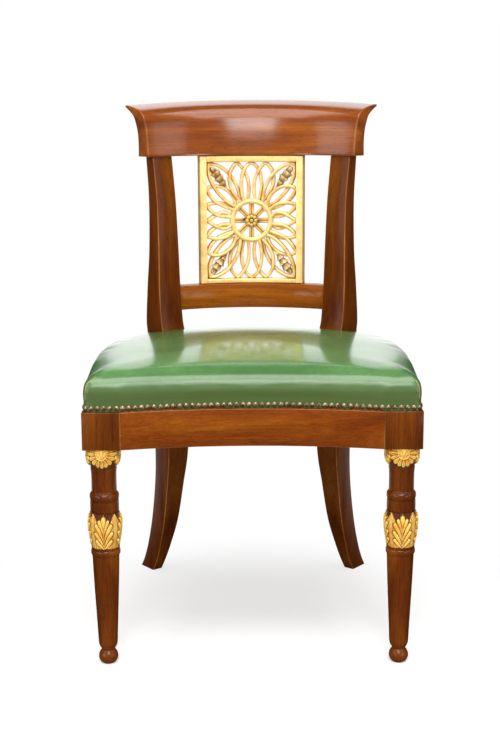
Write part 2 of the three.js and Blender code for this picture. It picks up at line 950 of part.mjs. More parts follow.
function splatBarSection(front, bottom, top) {
  const back = front + splatThickness;
  return [
    new THREE.Vector2(front, bottom + splatArris),
    new THREE.Vector2(front + splatArris, bottom),
    new THREE.Vector2(back, bottom),
    new THREE.Vector2(back, top),
    new THREE.Vector2(front + splatArris, top),
    new THREE.Vector2(front, top - splatArris),
  ];
}

function splatBarTenonAt(side, bottom, top, grown) {
  const face = splatOpening / splatRadius;
  const near = face - (overrun + grown) / splatRadius;
  const far = face + (splatBarTenon + grown) / splatRadius;
  const middle = splatFront + splatThickness / 2;
  const shoulder = (top - bottom) * splatShoulderShare;
  return arcBar(
    middle - splatTenonThickness / 2 - grown,
    middle + splatTenonThickness / 2 + grown,
    bottom + shoulder - grown,
    top - shoulder + grown,
    side * near,
    side * far,
    1,
  );
}

const splatBars = [
  [lowerRailTop + fit, splatOpeningBottom],
  [splatOpeningTop, crestBottom - fit],
];

function fretGroove() {
  const reach = (splatOpening + splatGroove + fit) / splatRadius;
  const give = splatGroove + fit;
  return arcBar(
    splatRadius - fretThickness / 2 - fit,
    splatRadius + fretThickness / 2 + fit,
    splatOpeningBottom - give,
    splatOpeningTop + give,
    -reach,
    reach,
    barSteps,
  );
}

function splatStile(side) {
  const outer = (side * splatHalfWidth) / splatRadius;
  const inner = (side * splatOpening) / splatRadius;
  const section = splatBarSection(splatFront, lowerRailTop + fit, crestBottom - fit);
  const body = arcSweep(section, inner, outer, 1);
  const mortises = splatBars.map(([bottom, top]) => splatBarTenonAt(side, bottom, top, fit));
  const tenons = [splatTopTenon(side, 0), splatBottomTenon(side, 0)];
  return joined(cut(body, fretGroove(), ...mortises), ...tenons);
}

function splatBar(index) {
  const [bottom, top] = splatBars[index];
  const reach = (splatOpening - fit) / splatRadius;
  const section = splatBarSection(splatFront, bottom, top);
  const body = cut(arcSweep(section, -reach, reach, barSteps), fretGroove());
  return joined(body, ...[-1, 1].map((side) => splatBarTenonAt(side, bottom, top, 0)));
}

// Fretwork: pointed loops of band fan out from the roundel, and each laps over the next one round.
// It is drawn flat: x across, y in depth from the panel's middle, z up from the roundel's middle.

const fretReachX = splatOpening + splatGroove;
const fretReachZ = splatOpeningHalf + splatGroove;

// Middle lines of a loop's two sides, each a curve from its root at the roundel to the loop's tip,
// as shares of the frame's reach across and up. Rows run from the top loop round to the side loop,
// and each starts with the side nearer the top.
const loopShares = [
  [
    [[-0.178, 0.376], [-0.238, 0.55], [-0.242, 0.878], [0, 0.963]],
    [[0.178, 0.376], [0.238, 0.55], [0.242, 0.878], [0, 0.963]],
  ],
  [
    [[0.067, 0.376], [0.023, 0.597], [0.069, 0.813], [0.299, 0.963]],
    [[0.299, 0.376], [0.491, 0.539], [0.544, 0.812], [0.299, 0.963]],
  ],
  [
    [[0.247, 0.394], [0.282, 0.652], [0.552, 0.95], [0.901, 0.945]],
    [[0.396, 0.261], [0.665, 0.355], [0.982, 0.707], [0.901, 0.945]],
  ],
  [
    [[0.339, 0.293], [0.381, 0.499], [0.73, 0.667], [0.953, 0.523]],
    [[0.442, 0.197], [0.72, 0.273], [0.806, 0.311], [0.953, 0.523]],
  ],
  [
    [[0.413, 0.197], [0.536, 0.314], [0.79, 0.32], [0.953, 0.257]],
    [[0.465, 0.064], [0.67, 0.056], [0.843, 0.116], [0.953, 0.257]],
  ],
  [
    [[0.459, 0.092], [0.614, 0.21], [0.808, 0.05], [0.953, 0]],
    [[0.459, -0.092], [0.614, -0.21], [0.808, -0.05], [0.953, 0]],
  ],
];

// The row of a loop, and the quarter of the panel that it lies in.
function loopPlace(index) {
  const fromTop = Math.min(index, loopCount - index);
  const row = Math.min(fromTop, loopCount / 2 - fromTop);
  const across = index < loopCount / 2 ? 1 : -1;
  const up = fromTop <= loopCount / 4 ? 1 : -1;
  return { row, across, up };
}

// One side of a loop, with a run that carries it in under the roundel's rim.
function loopSide(shares, across, up) {
  const control = shares.map(
    ([wide, high]) => new THREE.Vector2(wide * across * fretReachX, high * up * fretReachZ),
  );
  const inward = control[0].clone().sub(control[1]).setLength(loopRootRun);
  const curve = new THREE.CubicBezierCurve(...control);
  return [control[0].clone().add(inward), ...curve.getPoints(curveSteps)];
}

function loopLines(index) {
  const { row, across, up } = loopPlace(index);
  const [near, far] = loopShares[row].map((shares) => loopSide(shares, across, up));
  const root = near[0].clone().lerp(far[0], 1 / 2);
  const run = near[near.length - 1].clone().sub(root);
  return { line: [...near, ...far.slice(0, -1).reverse()], root, run };
}

// Both edges of a band that follows a line, mitred where the line turns.
function bandOutline(line, width) {
  const sides = [[], []];
  line.forEach((place, index) => {
    const before = place.clone().sub(line[Math.max(index - 1, 0)]).normalize();
    const after = line[Math.min(index + 1, line.length - 1)].clone().sub(place).normalize();
    const ahead = before.clone().add(after).normalize();
    const across = new THREE.Vector2(ahead.y, -ahead.x);
    const leg = index === 0 ? after : before;
    const reach = width / 2 / Math.abs(across.cross(leg));
    sides[0].push(place.clone().addScaledVector(across, reach));
    sides[1].push(place.clone().addScaledVector(across, -reach));
  });
  return [...sides[0], ...sides[1].reverse()];
}

// The clockwise side of a loop lies deeper than the other, so that the next loop laps over it.
function loopBody(index) {
  const { line, root, run } = loopLines(index);
  const slab = new THREE.ExtrudeGeometry(new THREE.Shape(bandOutline(line, loopBand)), {
    depth: fretThickness,
    bevelEnabled: false,
  });
  slab.rotateX(Math.PI / 2).translate(0, fretThickness / 2, 0);
  const axis = run.normalize();
  const place = slab.getAttribute('position');
  for (let i = 0; i < place.count; i += 1) {
    const clockwise = (place.getX(i) - root.x) * axis.y - (place.getZ(i) - root.y) * axis.x;
    place.setY(i, place.getY(i) + clockwise * loopTiltShare);
  }
  return solidOf(slab);
}

// A carved bud on its stem inside each corner loop: radius as a share of its half width,
// height as a share of its length.
const budShares = [
  [0.4, 0],
  [0.75, 0.28],
  [1, 0.52],
  [0.8, 0.68],
  [0.45, 0.76],
  [0.6, 0.88],
];

function cornerBud(index) {
  const { root, run } = loopLines(index);
  const end = run.length() - budEndSet;
  const start = end - budLength;
  const profile = budShares.map(([wide, up]) => [wide * budHalfWidth, start + up * budLength]);
  const outline = [[0, 0], [budStem, 0], [budStem, start], ...profile, [0, end]];
  const lean = Math.atan2(run.x, run.y);
  return solidOf(turned(outline, budSteps).rotateY(lean).translate(root.x, 0, root.y));
}

function splatFretwork() {
  const indices = Array.from({ length: loopCount }, (_, index) => index);
  const reaches = indices.map((index) => loopLines(index).run.length());
  const corners = indices.filter((index) => reaches[index] > Math.max(...reaches) - fit);
  const inside = block(
    2 * (splatOpening - fit),
    2 * splatThickness,
    2 * (splatOpeningHalf - fit),
  );
  const housed = block(2 * fretReachX, fretThickness, 2 * fretReachZ);
  const reach = roundelRadius + fit;
  const hole = new THREE.CylinderGeometry(reach, reach, 2 * splatThickness, 2 * turnSteps);
  const lattice = joined(...indices.map(loopBody), ...corners.map(cornerBud));
  const panel = lattice.intersect(joined(solidOf(inside), solidOf(housed)));
  const pierced = cut(panel, solidOf(hole));
  return bent(moved(pierced, (p) => new THREE.Vector3(p.x, p.y, p.z + splatMiddle)));
}

// Roundel: a turned ring with eight double spokes and a beaded hub.

function roundelRing() {
  const front = roundelFront - splatRadius;
  const back = front + roundelThickness;
  const wide = roundelRadius - roundelInnerRadius;
  const shoulder = wide * roundelShoulderShare;
  const outline = [
    new THREE.Vector2(roundelInnerRadius, back),
    new THREE.Vector2(roundelInnerRadius, front + shoulder),
    new THREE.Vector2(roundelInnerRadius + shoulder, front),
    new THREE.Vector2(roundelRadius - shoulder, front),
    new THREE.Vector2(roundelRadius, front + shoulder),
    new THREE.Vector2(roundelRadius, back),
    new THREE.Vector2(roundelInnerRadius, back),
  ];
  return solidOf(new THREE.LatheGeometry(outline, 2 * turnSteps));
}

function roundelSpoke(index, side) {
  const length = roundelInnerRadius - hubRadius / 2 + spokeRadius;
  const rod = new THREE.CylinderGeometry(spokeRadius, spokeRadius, length, spokeSteps);
  rod.rotateX(Math.PI / 2);
  const middle = (roundelInnerRadius + hubRadius / 2 + spokeRadius) / 2;
  rod.translate(side * spokeRadius * spokeSetShare, 0, middle);
  rod.rotateY((index * 2 * Math.PI) / roundelSpokes);
  return solidOf(rod.translate(0, roundelFront - splatRadius + roundelThickness / 2, 0));
}

function roundelHub() {
  const middle = roundelFront - splatRadius + roundelThickness / 2;
  const disc = new THREE.CylinderGeometry(hubRadius, hubRadius, hubThickness, turnSteps);
  const parts = [solidOf(disc.translate(0, middle, 0))];
  const front = middle - hubThickness / 2;
  for (let index = 0; index <= beadCount; index += 1) {
    const turn = (index * 2 * Math.PI) / beadCount;
    const ring = index < beadCount ? hubRadius - beadRadius : 0;
    const bead = new THREE.SphereGeometry(beadRadius, beadSteps, beadSteps);
    parts.push(solidOf(bead.translate(ring * Math.sin(turn), front, ring * Math.cos(turn))));
  }
  return joined(...parts);
}

function splatRoundel() {
  const spokes = [];
  for (let index = 0; index < roundelSpokes; index += 1) {
    spokes.push(roundelSpoke(index, -1), roundelSpoke(index, 1));
  }
  const flat = joined(roundelRing(), ...spokes, roundelHub());
  return bent(moved(flat, (p) => new THREE.Vector3(p.x, p.y, p.z + splatMiddle)));
}

// Webbing: straps woven over and under each other and tacked on top of the rails

const webLevel = upholsteredTop + fit + webThickness / 2;
const webLift = (webThickness + fit) / 2;

function webPositions(first, pitch) {
  return Array.from({ length: webCount }, (_, index) => first + index * pitch);
}

// The outer lengthwise straps pass just inside the rear legs.
const stileAtStrip = rearLegNear(upholsteredTop);
const stileInner = inLegPlane(stileAtStrip.front, stileAtStrip.half, 0).x;
const outerStrap = stileInner - webLegGap - webWidth / 2;
const lengthwisePitch = (2 * outerStrap) / (webCount - 1);
const lengthwisePlaces = webPositions(-outerStrap, lengthwisePitch);
const crosswisePlaces = webPositions(webCrosswiseFirst, webCrosswisePitch);

function strapOutline(from, to, crossings, startsOver) {
  const centre = [[from, webLevel]];
  crossings.forEach((place, index) => {
    const over = index % 2 === 0 ? startsOver : -startsOver;
    const level = webLevel + over * webLift;
    const half = webWidth / 2;
    centre.push([place - half - webRun / 2, webLevel]);
    centre.push([place - half, level]);
    centre.push([place + half, level]);
  });
  const lastCrossing = crossings[crossings.length - 1];
  centre.push([lastCrossing + webWidth / 2 + webRun / 2, webLevel]);
  centre.push([to, webLevel]);
  const upper = centre.map(([along, up]) => new THREE.Vector2(along, up + webThickness / 2));
  const lower = centre.map(([along, up]) => new THREE.Vector2(along, up - webThickness / 2));
  return [...lower, ...upper.reverse()];
}

function strap(outline) {
  const shape = new THREE.Shape(outline);
  const geometry = new THREE.ExtrudeGeometry(shape, { depth: webWidth, bevelEnabled: false });
  return geometry.translate(0, 0, -webWidth / 2).rotateX(Math.PI / 2);
}

function lengthwiseStrap(index) {
  const x = lengthwisePlaces[index];
  const edge = Math.abs(x) + webWidth / 2;
  const from = frontEdgeAt(Math.abs(x) - webWidth / 2) + rebateDepth + webEndSet;
  const rear = backAxisDepth + Math.sqrt(rearRailRadius ** 2 - edge ** 2);
  const to = rear - rebateDepth - webEndSet;
  const outline = strapOutline(from, to, crosswisePlaces, index % 2 === 0 ? 1 : -1);
  return solidOf(strap(outline).rotateZ(Math.PI / 2).translate(x, 0, 0));
}

function sideEdgeAt(y) {
  const places = sideCurve().getPoints(sideSteps * sideSteps);
  const beyond = places.find((place) => place.y >= y);
  return y <= sideStraightEnd || !beyond ? seatHalfWidth : beyond.x;
}

function crosswiseStrap(index) {
  const y = crosswisePlaces[index];
  const end = sideEdgeAt(y + webWidth / 2) - rebateDepth - webEndSet;
  const outline = strapOutline(-end, end, lengthwisePlaces, index % 2 === 0 ? -1 : 1);
  return solidOf(strap(outline).translate(0, y, 0));
}

// Soft parts

const clothBottom = webLevel + webLift + webThickness / 2 + fit;
const stuffingBottom = clothBottom + clothThickness + fit;

function baseCloth() {
  const sheet = prism(seatOutline(clothSet), clothBottom, clothBottom + clothThickness);
  return cutForLegs(sheet);
}

// Rings up the seat's side, round its edge and in over the crown to the middle.
// Each holds its inset from the seat's outline and its height.
function padLevels(bottom, skin) {
  const skirtInset = rebateDepth - fit - leatherThickness;
  const levels = [
    [skirtInset + skin, bottom],
    [skirtInset + skin, Math.max(bottom, upholsteredTop) + overrun],
    [skirtInset - padBulge + skin, padEdgeTop - padEdgeRadius],
  ];
  for (const share of steps(edgeSteps).slice(1)) {
    const turn = (share * Math.PI) / 2;
    const inset = skirtInset - padBulge + padEdgeRadius * (1 - Math.cos(turn)) + skin;
    const height = padEdgeTop - padEdgeRadius * (1 - Math.sin(turn)) - skin;
    levels.push([inset, height]);
  }
  const [edgeInset, edgeHeight] = levels[levels.length - 1];
  for (const share of steps(crownSteps).slice(1)) {
    const inset = edgeInset + (seatHalfDepth - edgeInset) * share;
    levels.push([inset, edgeHeight + padCrown * (1 - (1 - share) ** crownRoundness)]);
  }
  return levels;
}

function padBody(bottom, skin) {
  const levels = padLevels(bottom, skin);
  const rings = levels.slice(0, -1).map(([inset, height]) => {
    const wideShare = 1 - inset / seatHalfDepth;
    const outline = inset > 2 * padEdgeRadius ? crownOutline(wideShare) : seatOutline(inset);
    return outline.map((p) => new THREE.Vector3(p.x, p.y, height));
  });
  const size = rings[0].length;
  const points = rings.flat();
  const low = points.length;
  points.push(new THREE.Vector3(0, seatMiddle, bottom));
  points.push(new THREE.Vector3(0, seatMiddle, levels[levels.length - 1][1]));
  const faces = [];
  const lastRing = (rings.length - 1) * size;
  for (let i = 0; i < size; i += 1) {
    const j = (i + 1) % size;
    for (let k = 0; k + 1 < rings.length; k += 1) {
      const here = k * size;
      faces.push([here + i, here + j, here + size + j]);
      faces.push([here + i, here + size + j, here + size + i]);
    }
    faces.push([low, j, i]);
    faces.push([low + 1, lastRing + i, lastRing + j]);
  }
  return closedSolid(points, faces);
}

// Rings of the crown shrink toward the middle of the seat and round off into ovals.
function crownOutline(share) {
  return seatOutline(0).map((p) => {
    const turn = Math.atan2((p.y - seatMiddle) / seatHalfDepth, p.x / seatHalfWidth);
    const across = THREE.MathUtils.lerp(Math.cos(turn) * seatHalfWidth, p.x, share);
    const along = THREE.MathUtils.lerp(Math.sin(turn) * seatHalfDepth, p.y - seatMiddle, share);
    return new THREE.Vector2(across * share, seatMiddle + along * share);
  });
}

function seatStuffing() {
  const skin = leatherThickness + fit;
  const leg = rearLegBody(skin + fit);
  return cut(padBody(stuffingBottom, skin), leg, mirrored(leg));
}

function leatherCover() {
  const bottom = seatRailTop + skirtBottomGap;
  const hollow = padBody(bottom - overrun, leatherThickness);
  const shell = cut(padBody(bottom, 0), hollow);
  return cutForLegs(shell);
}

// The assembled chair

const chair = new THREE.Group();

function addPiece(name, solid, finish) {
  const { points, faces } = pointsAndFaces(solid);
  const geometry = new THREE.BufferGeometry().setFromPoints(points);
  geometry.setIndex(faces.flat());
  const material = new THREE.MeshStandardMaterial(finish);
  const mesh = new THREE.Mesh(toCreasedNormals(geometry, creaseAngle), material);
  mesh.name = name;
  chair.add(mesh);
}

function addPair(name, solid, finish) {
  addPiece(`${name}_right`, solid, finish);
  addPiece(`${name}_left`, mirrored(solid), finish);
}

addPair('front_leg_block', legBlock(), mahogany);
addPair('front_leg_capital', legCapital(), gilding);
addPair('front_leg_shaft', atFrontLeg(solidOf(turned(shaftProfile(), turnSteps))), mahogany);
addPair('front_leg_acanthus', legAcanthus(), gilding);
addPair('front_leg_lower', atFrontLeg(solidOf(turned(lowerLegProfile(), turnSteps))), mahogany);
addPair('rear_leg', rearLeg(), mahogany);
addPiece('front_seat_rail', frontRail(), mahogany);
addPair('side_seat_rail', sideRail(), mahogany);
addPiece('rear_seat_rail', rearRail(), mahogany);
addPiece('crest_rail', crestRail(), mahogany);
addPiece('lower_back_rail', lowerBackRail(), mahogany);

addPair('front_corner_block', frontCornerBlock(), beech);
addPair('rear_corner_block', rearCornerBlock(), beech);
for (const [index, level] of ['lower', 'upper'].entries()) {
  addPair(`front_block_screw_${level}`, screwsAt(frontScrew, 0)[index], steel);
  addPair(`rear_block_screw_${level}`, screwsAt(rearScrew, 0)[index], steel);
}

addPiece('splat_stile_left', splatStile(-1), gilding);
addPiece('splat_stile_right', splatStile(1), gilding);
addPiece('splat_bottom_bar', splatBar(0), gilding);
addPiece('splat_top_bar', splatBar(1), gilding);
addPiece('splat_fretwork', splatFretwork(), gilding);
addPiece('splat_roundel', splatRoundel(), gilding);

for (let index = 0; index < webCount; index += 1) {
  addPiece(`webbing_lengthwise_${index + 1}`, lengthwiseStrap(index), jute);
  addPiece(`webbing_crosswise_${index + 1}`, crosswiseStrap(index), jute);
}
addPiece('base_cloth', baseCloth(), jute);
addPiece('seat_stuffing', seatStuffing(), horsehair);
addPiece('leather_cover', leatherCover(), leather);

const extent = new THREE.Box3().setFromObject(chair);
chair.position.y = -(extent.min.y + extent.max.y) / 2;

const model = new THREE.Group();
model.add(chair);
model.updateMatrixWorld(true);

export default model;
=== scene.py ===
# %% [markdown]
# # A klismos side chair, dressed for its portrait
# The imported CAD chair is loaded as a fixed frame. Each cell then takes one piece or one finish of
# the real chair, says what it is, and makes it. The chair's lengths are written in millimetres and
# turned to metres when a mesh is made, because a cabinet maker's rod is marked in millimetres. The
# camera, the lamps and the paper stand in metres.

# %% load the frame
import math
from functools import partial

import bmesh
import bpy
import numpy as np
from mathutils import Matrix, Vector
from mathutils.bvhtree import BVHTree


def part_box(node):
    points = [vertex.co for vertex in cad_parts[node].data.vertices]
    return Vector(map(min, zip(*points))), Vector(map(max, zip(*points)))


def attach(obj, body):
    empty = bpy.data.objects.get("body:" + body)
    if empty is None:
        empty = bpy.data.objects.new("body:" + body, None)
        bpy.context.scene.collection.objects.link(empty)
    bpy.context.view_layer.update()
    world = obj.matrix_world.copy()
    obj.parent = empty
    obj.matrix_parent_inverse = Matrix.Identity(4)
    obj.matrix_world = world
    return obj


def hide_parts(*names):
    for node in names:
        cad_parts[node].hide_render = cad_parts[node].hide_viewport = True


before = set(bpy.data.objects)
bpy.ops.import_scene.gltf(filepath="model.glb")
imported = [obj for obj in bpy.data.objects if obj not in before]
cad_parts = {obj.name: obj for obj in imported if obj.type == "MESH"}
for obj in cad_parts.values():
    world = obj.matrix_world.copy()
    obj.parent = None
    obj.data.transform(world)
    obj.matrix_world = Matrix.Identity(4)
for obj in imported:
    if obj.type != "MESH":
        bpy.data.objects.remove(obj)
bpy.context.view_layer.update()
mm = 0.001
sides = (("left", -1), ("right", 1))
print("nodes in the frame:", len(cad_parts))

# %% [markdown]
# ## The camera
# The camera stands where the photograph was taken: 2.26 m in front of the chair, at the height of
# the crest, tilted down a little. The long lens keeps the chair's upright lines nearly parallel.


# %% camera
def add_object(name, data):
    piece = bpy.data.objects.new(name, data)
    bpy.context.scene.collection.objects.link(piece)
    return piece


camera_data = bpy.data.cameras.new("portrait_camera")
camera_data.lens = 64.46
camera_data.sensor_width = 36
camera_data.clip_start = 0.05
camera = add_object("portrait_camera", camera_data)
camera_place = (0, -2.256, 0.877)
camera_pitch, camera_yaw, camera_roll = (math.radians(angle) for angle in (11.5, 0.098, -0.28))
turn_up = Matrix.Rotation(math.radians(90) - camera_pitch, 4, "X")
turn_side = Matrix.Rotation(camera_yaw, 4, "Z")
turn_own = Matrix.Rotation(camera_roll, 4, "Z")
camera.matrix_world = Matrix.Translation(camera_place) @ turn_side @ turn_up @ turn_own
bpy.context.scene.camera = camera
bpy.context.scene.view_settings.view_transform = "Standard"
print("lens", camera_data.lens, "mm")

# %% [markdown]
# ## One node at a time
# Shader trees read best when each node is one line: its kind, its settings, its links. This helper
# adds a node, finds its full type name, sets its properties, and fills its sockets. A socket takes
# another node, for its first output, or one output, or a hex colour, or a plain value. Ramp stops
# are pairs of a place and a hex colour, and one function turns hex to linear light.


# %% helpers for materials
def linear(hex_colour):
    channels = [int(hex_colour[i:i + 2], 16) / 255 for i in (1, 3, 5)]
    bent = [c / 12.92 if c <= 0.04045 else ((c + 0.055) / 1.055) ** 2.4 for c in channels]
    return (*bent, 1)


def add_node(tree, kind, sockets=None, stops=(), **settings):
    families = ("ShaderNode", "GeometryNode", "FunctionNode", "")
    node = tree.nodes.new(next(f + kind for f in families if hasattr(bpy.types, f + kind)))
    for key, value in settings.items():
        setattr(node, key, value)
    for key, value in (sockets or {}).items():
        if isinstance(value, bpy.types.Node):
            value = value.outputs[0]
        if isinstance(value, bpy.types.NodeSocket):
            tree.links.new(value, node.inputs[key])
        elif isinstance(value, str) and value.startswith("#"):
            node.inputs[key].default_value = linear(value)
        else:
            node.inputs[key].default_value = value
    if stops:
        elements = node.color_ramp.elements
        while len(elements) < len(stops):
            elements.new(0.5)
        for element, (place, colour) in zip(elements, stops):
            element.position = place
            element.color = linear(colour)
    return node


def cleared(block):
    block.use_nodes = True
    block.node_tree.nodes.clear()
    return block, partial(add_node, block.node_tree)


def new_material(name):
    return cleared(bpy.data.materials.new(name))


def surfaced(material, add, sockets):
    add("OutputMaterial", {"Surface": add("BsdfPrincipled", sockets)})
    return material


blended = {"data_type": "RGBA"}
multiplied = {"data_type": "RGBA", "blend_type": "MULTIPLY"}
print("material helpers ready")

# %% [markdown]
# ## Light and floor
# The chair stands on a white sweep. Large soft lamps give a plain level of light, so a colour
# renders about as it is written. The white behind is a backdrop that only the camera and mirror
# rays see as bright: it shows in the polish and in the leather, and adds no light of its own.
# Round the chair the floor keeps its soft shadow, and further off it burns out to white as studio
# paper does.

# %% floor, backdrop and lamps
white_light = (1, 1, 1, 1)
paper_white, paper_bounce = (0.9, 0.9, 0.9, 1), (0.66, 0.65, 0.63, 1)
shadow_middle = (0, 0.26, 0)  # metres, added, so that the fade runs round the front of the chair


def white_paper(name, lift, near=0.0, far=0.01, glare=1.0):
    material, add = new_material(name)
    rays = add("LightPath").outputs
    place = add("TexCoord").outputs["Object"]
    flat = add("VectorMath", {0: place, 1: (1, 1, 0), 2: shadow_middle}, operation="MULTIPLY_ADD")
    away = add("VectorMath", {0: flat}, operation="LENGTH").outputs["Value"]
    fade = add("MapRange", {"Value": away, "From Min": near, "From Max": far},
               interpolation_type="SMOOTHSTEP")
    diffuse = add("BsdfDiffuse", {"Color": paper_white})
    glow = add("Emission", {"Color": white_light, "Strength": lift})
    white = add("Emission", {"Color": white_light, "Strength": 1.0})
    shadowed = add("AddShader", {0: diffuse, 1: glow})
    pictured = add("MixShader", {0: fade, 1: shadowed, 2: white})
    bounce = add("BsdfDiffuse", {"Color": paper_bounce})
    axes = add("SeparateXYZ", {"Vector": place}).outputs
    aside = add("Math", {0: axes["X"]}, operation="ABSOLUTE")
    narrow = add("MapRange", {"Value": aside, "From Min": 1.5, "From Max": 0.85, "To Max": glare})
    behind = add("MapRange", {"Value": axes["Y"], "From Min": 0.2, "From Max": 0.5})
    sheen = add("Math", {0: narrow, 1: behind}, operation="MULTIPLY")
    mirrored = add("Emission", {"Color": white_light, "Strength": sheen})
    unseen = add("MixShader", {0: rays["Is Glossy Ray"], 1: bounce, 2: mirrored})
    seen = add("Math", {0: rays["Is Camera Ray"], 1: rays["Is Transmission Ray"]},
               operation="MAXIMUM")
    add("OutputMaterial", {"Surface": add("MixShader", {0: seen, 1: unseen, 2: pictured})})
    return material


def stage_sheet(name, corners, paper):
    mesh = bpy.data.meshes.new(name)
    mesh.from_pydata(corners, [], [tuple(range(len(corners)))])
    mesh.materials.append(paper)
    add_object(name, mesh)


stage_sheet("paper_floor", [(-9, -6, 0), (9, -6, 0), (9, 9, 0), (-9, 9, 0)],
            white_paper("white_paper_floor", 0.2, 0.22, 0.68))
stage_sheet("paper_backdrop", [(-5, 4.5, 0), (5, 4.5, 0), (5, 4.5, 6), (-5, 4.5, 6)],
            white_paper("white_paper_backdrop", 1.0, glare=1.6))

world, add = cleared(bpy.data.worlds.new("studio"))
bpy.context.scene.world = world
rays = add("LightPath").outputs
ambient, dark_room, white = (add("Background", {"Color": white_light, "Strength": strength})
                             for strength in (0.34, 0.1, 1.0))
unseen = add("MixShader", {0: rays["Is Glossy Ray"], 1: ambient, 2: dark_room})
add("OutputWorld", {"Surface": add("MixShader", {0: rays["Is Camera Ray"], 1: unseen, 2: white})})


def soft_lamp(name, place, target, width, height, power):
    data = bpy.data.lights.new(name, "AREA")
    data.shape = "RECTANGLE"
    data.size, data.size_y, data.energy = width, height, power
    aim = (Vector(target) - Vector(place)).to_track_quat("-Z", "Y")
    add_object(name, data).matrix_world = Matrix.Translation(place) @ aim.to_matrix().to_4x4()


soft_lamp("overhead_box", (0, -0.8, 2.7), (0, -0.2, 0.4), 2.4, 1.8, 56)
soft_lamp("front_box", (0, -2.3, 2.0), (0, 0, 0.6), 1.4, 1.2, 42)
for side, sign in sides:
    soft_lamp(f"{side}_box", (2.6 * sign, -1.7, 1.5), (0, 0, 0.5), 1.3, 2.2, 17 - 3 * sign)
    soft_lamp(f"low_{side}_box", (1.7 * sign, -2.3, 0.3), (0, 0, 0.1), 0.7, 0.5, 8)

# %% [markdown]
# ## French-polished mahogany
# The chair is Cuban mahogany under shellac, rubbed on with a pad until the surface is a clear
# film. The film gives sharp, weak reflections, so it is a coat over a rougher base. The figure
# runs along each member: slow bands of light and dark, finer streaks, and short dark pores. Each
# wooden piece carries its own grain coordinates in millimetres, along, across and through, so the
# figure follows a curved rail instead of cutting through it. Handling has rubbed the arrises
# paler.


# %% mahogany
def mahogany(name, dark, middle, light, gloss, coat=0.26):
    material, add = new_material(name)
    grain = add("Attribute", attribute_name="grain").outputs["Vector"]

    def stretched(along, across, **sockets):
        scale = (1 / along, 1 / across, 1 / across)
        run = add("Mapping", {"Vector": grain, "Scale": scale})
        return add("TexNoise", {"Vector": run, "Scale": 1.0, **sockets})

    bands = stretched(300, 34, Detail=3.0, Roughness=0.5, Distortion=0.5)
    streaks = stretched(110, 2.4, Detail=2.0)
    pores = stretched(14, 0.8, Detail=1.0)
    figure = add("ValToRGB", {"Fac": bands}, stops=[(0.3, dark), (0.52, middle), (0.74, light)])
    streak = add("ValToRGB", {"Fac": streaks}, stops=[(0.34, "#a08c80"), (0.6, "#ffffff")])
    pore = add("ValToRGB", {"Fac": pores}, stops=[(0.3, "#5a4436"), (0.42, "#ffffff")])
    figure = add("Mix", {0: 0.38, 6: figure, 7: streak}, **multiplied).outputs[2]
    colour = add("Mix", {0: 0.5, 6: figure, 7: pore}, **multiplied).outputs[2]
    bump = add("Bump", {"Height": pores, "Strength": 0.05, "Distance": 0.0003})
    return surfaced(material, add, {
        "Base Color": colour, "Roughness": 0.42, "IOR": 1.5, "Specular IOR Level": 0.08,
        "Coat Weight": coat, "Coat Roughness": gloss, "Coat IOR": 1.5, "Normal": bump})


# The lower back rail and the lower front legs get lighter tones than the rest of the mahogany:
# painted light that makes up for the shade that falls on them.
polish_tones = {
    "crest": ("#6c2e04", "#874208", "#9c5612", 0.17, 1.0),
    "rail": ("#622900", "#783702", "#8a4908", 0.16),
    "lower_rail": ("#723400", "#904a02", "#a25c0c", 0.16),
    "back": ("#4e2000", "#652f02", "#764008", 0.16),
    "leg": ("#481d00", "#5d2800", "#6d3805", 0.16, 0.45),
    "foot_lightened": ("#582500", "#6f3402", "#814408", 0.16, 0.45),
}
polished = {member: mahogany(f"mahogany_{member}_french_polish", *tones)
            for member, tones in polish_tones.items()}
rubbed_edge = mahogany("mahogany_rubbed_arris", "#743e14", "#905a28", "#ac7440", 0.3, 0.2)
print("mahogany materials:", len(polished) + 1)

# %% [markdown]
# ## Meshes from rings, and a grain to follow
# Most of this chair is either turned or swept: rings of points joined one to the next. One helper
# makes the closed mesh, others write what each vertex carries, such as its grain coordinates.


# %% helpers for meshes
def add_mesh(name, points, faces, material):
    mesh = bpy.data.meshes.new(name)
    mesh.from_pydata((np.asarray(points, float).reshape(-1, 3) * mm).tolist(), [], faces)
    mesh.update()
    mesh.materials.append(material)
    return add_object(name, mesh)


def ring_faces(rings, size, bored=False):
    faces = [(k * size + i, k * size + (i + 1) % size,
              (k + 1) * size + (i + 1) % size, (k + 1) * size + i)
             for k in range(rings - 1) for i in range(size)]
    last = (rings - 1) * size
    if bored:
        return faces + [(last + i, last + (i + 1) % size, (i + 1) % size, i) for i in range(size)]
    return faces + [tuple(reversed(range(size))), tuple(range(last, last + size))]


def mesh_points(piece):
    points = np.empty(len(piece.data.vertices) * 3)
    piece.data.vertices.foreach_get("co", points)
    return points.reshape(-1, 3) / mm


def set_points(piece, points):
    piece.data.vertices.foreach_set("co", (points * mm).ravel())
    piece.data.update()


def write_layer(mesh, name, values):
    values = np.asarray(values, np.float32)
    kind, key = ("FLOAT_VECTOR", "vector") if values.ndim == 2 else ("FLOAT", "value")
    mesh.attributes.new(name, kind, "POINT").data.foreach_set(key, values.ravel())


def write_grain(piece, grain):
    write_layer(piece.data, "grain", grain(mesh_points(piece)))


def face_outward(piece, merge=True):
    work = bmesh.new()
    work.from_mesh(piece.data)
    if merge:
        bmesh.ops.remove_doubles(work, verts=work.verts, dist=0.01 * mm)
    bmesh.ops.recalc_face_normals(work, faces=work.faces)
    work.to_mesh(piece.data)
    work.free()


def add_rings(name, rings, material, bored=False, merge=True):
    faces = ring_faces(len(rings), len(rings[0]), bored)
    piece = add_mesh(name, np.array(rings), faces, material)
    face_outward(piece, merge)
    return piece


def shade(piece, angle=35):
    piece.data.polygons.foreach_set("use_smooth", [True] * len(piece.data.polygons))
    piece.data.set_sharp_from_angle(angle=math.radians(angle))


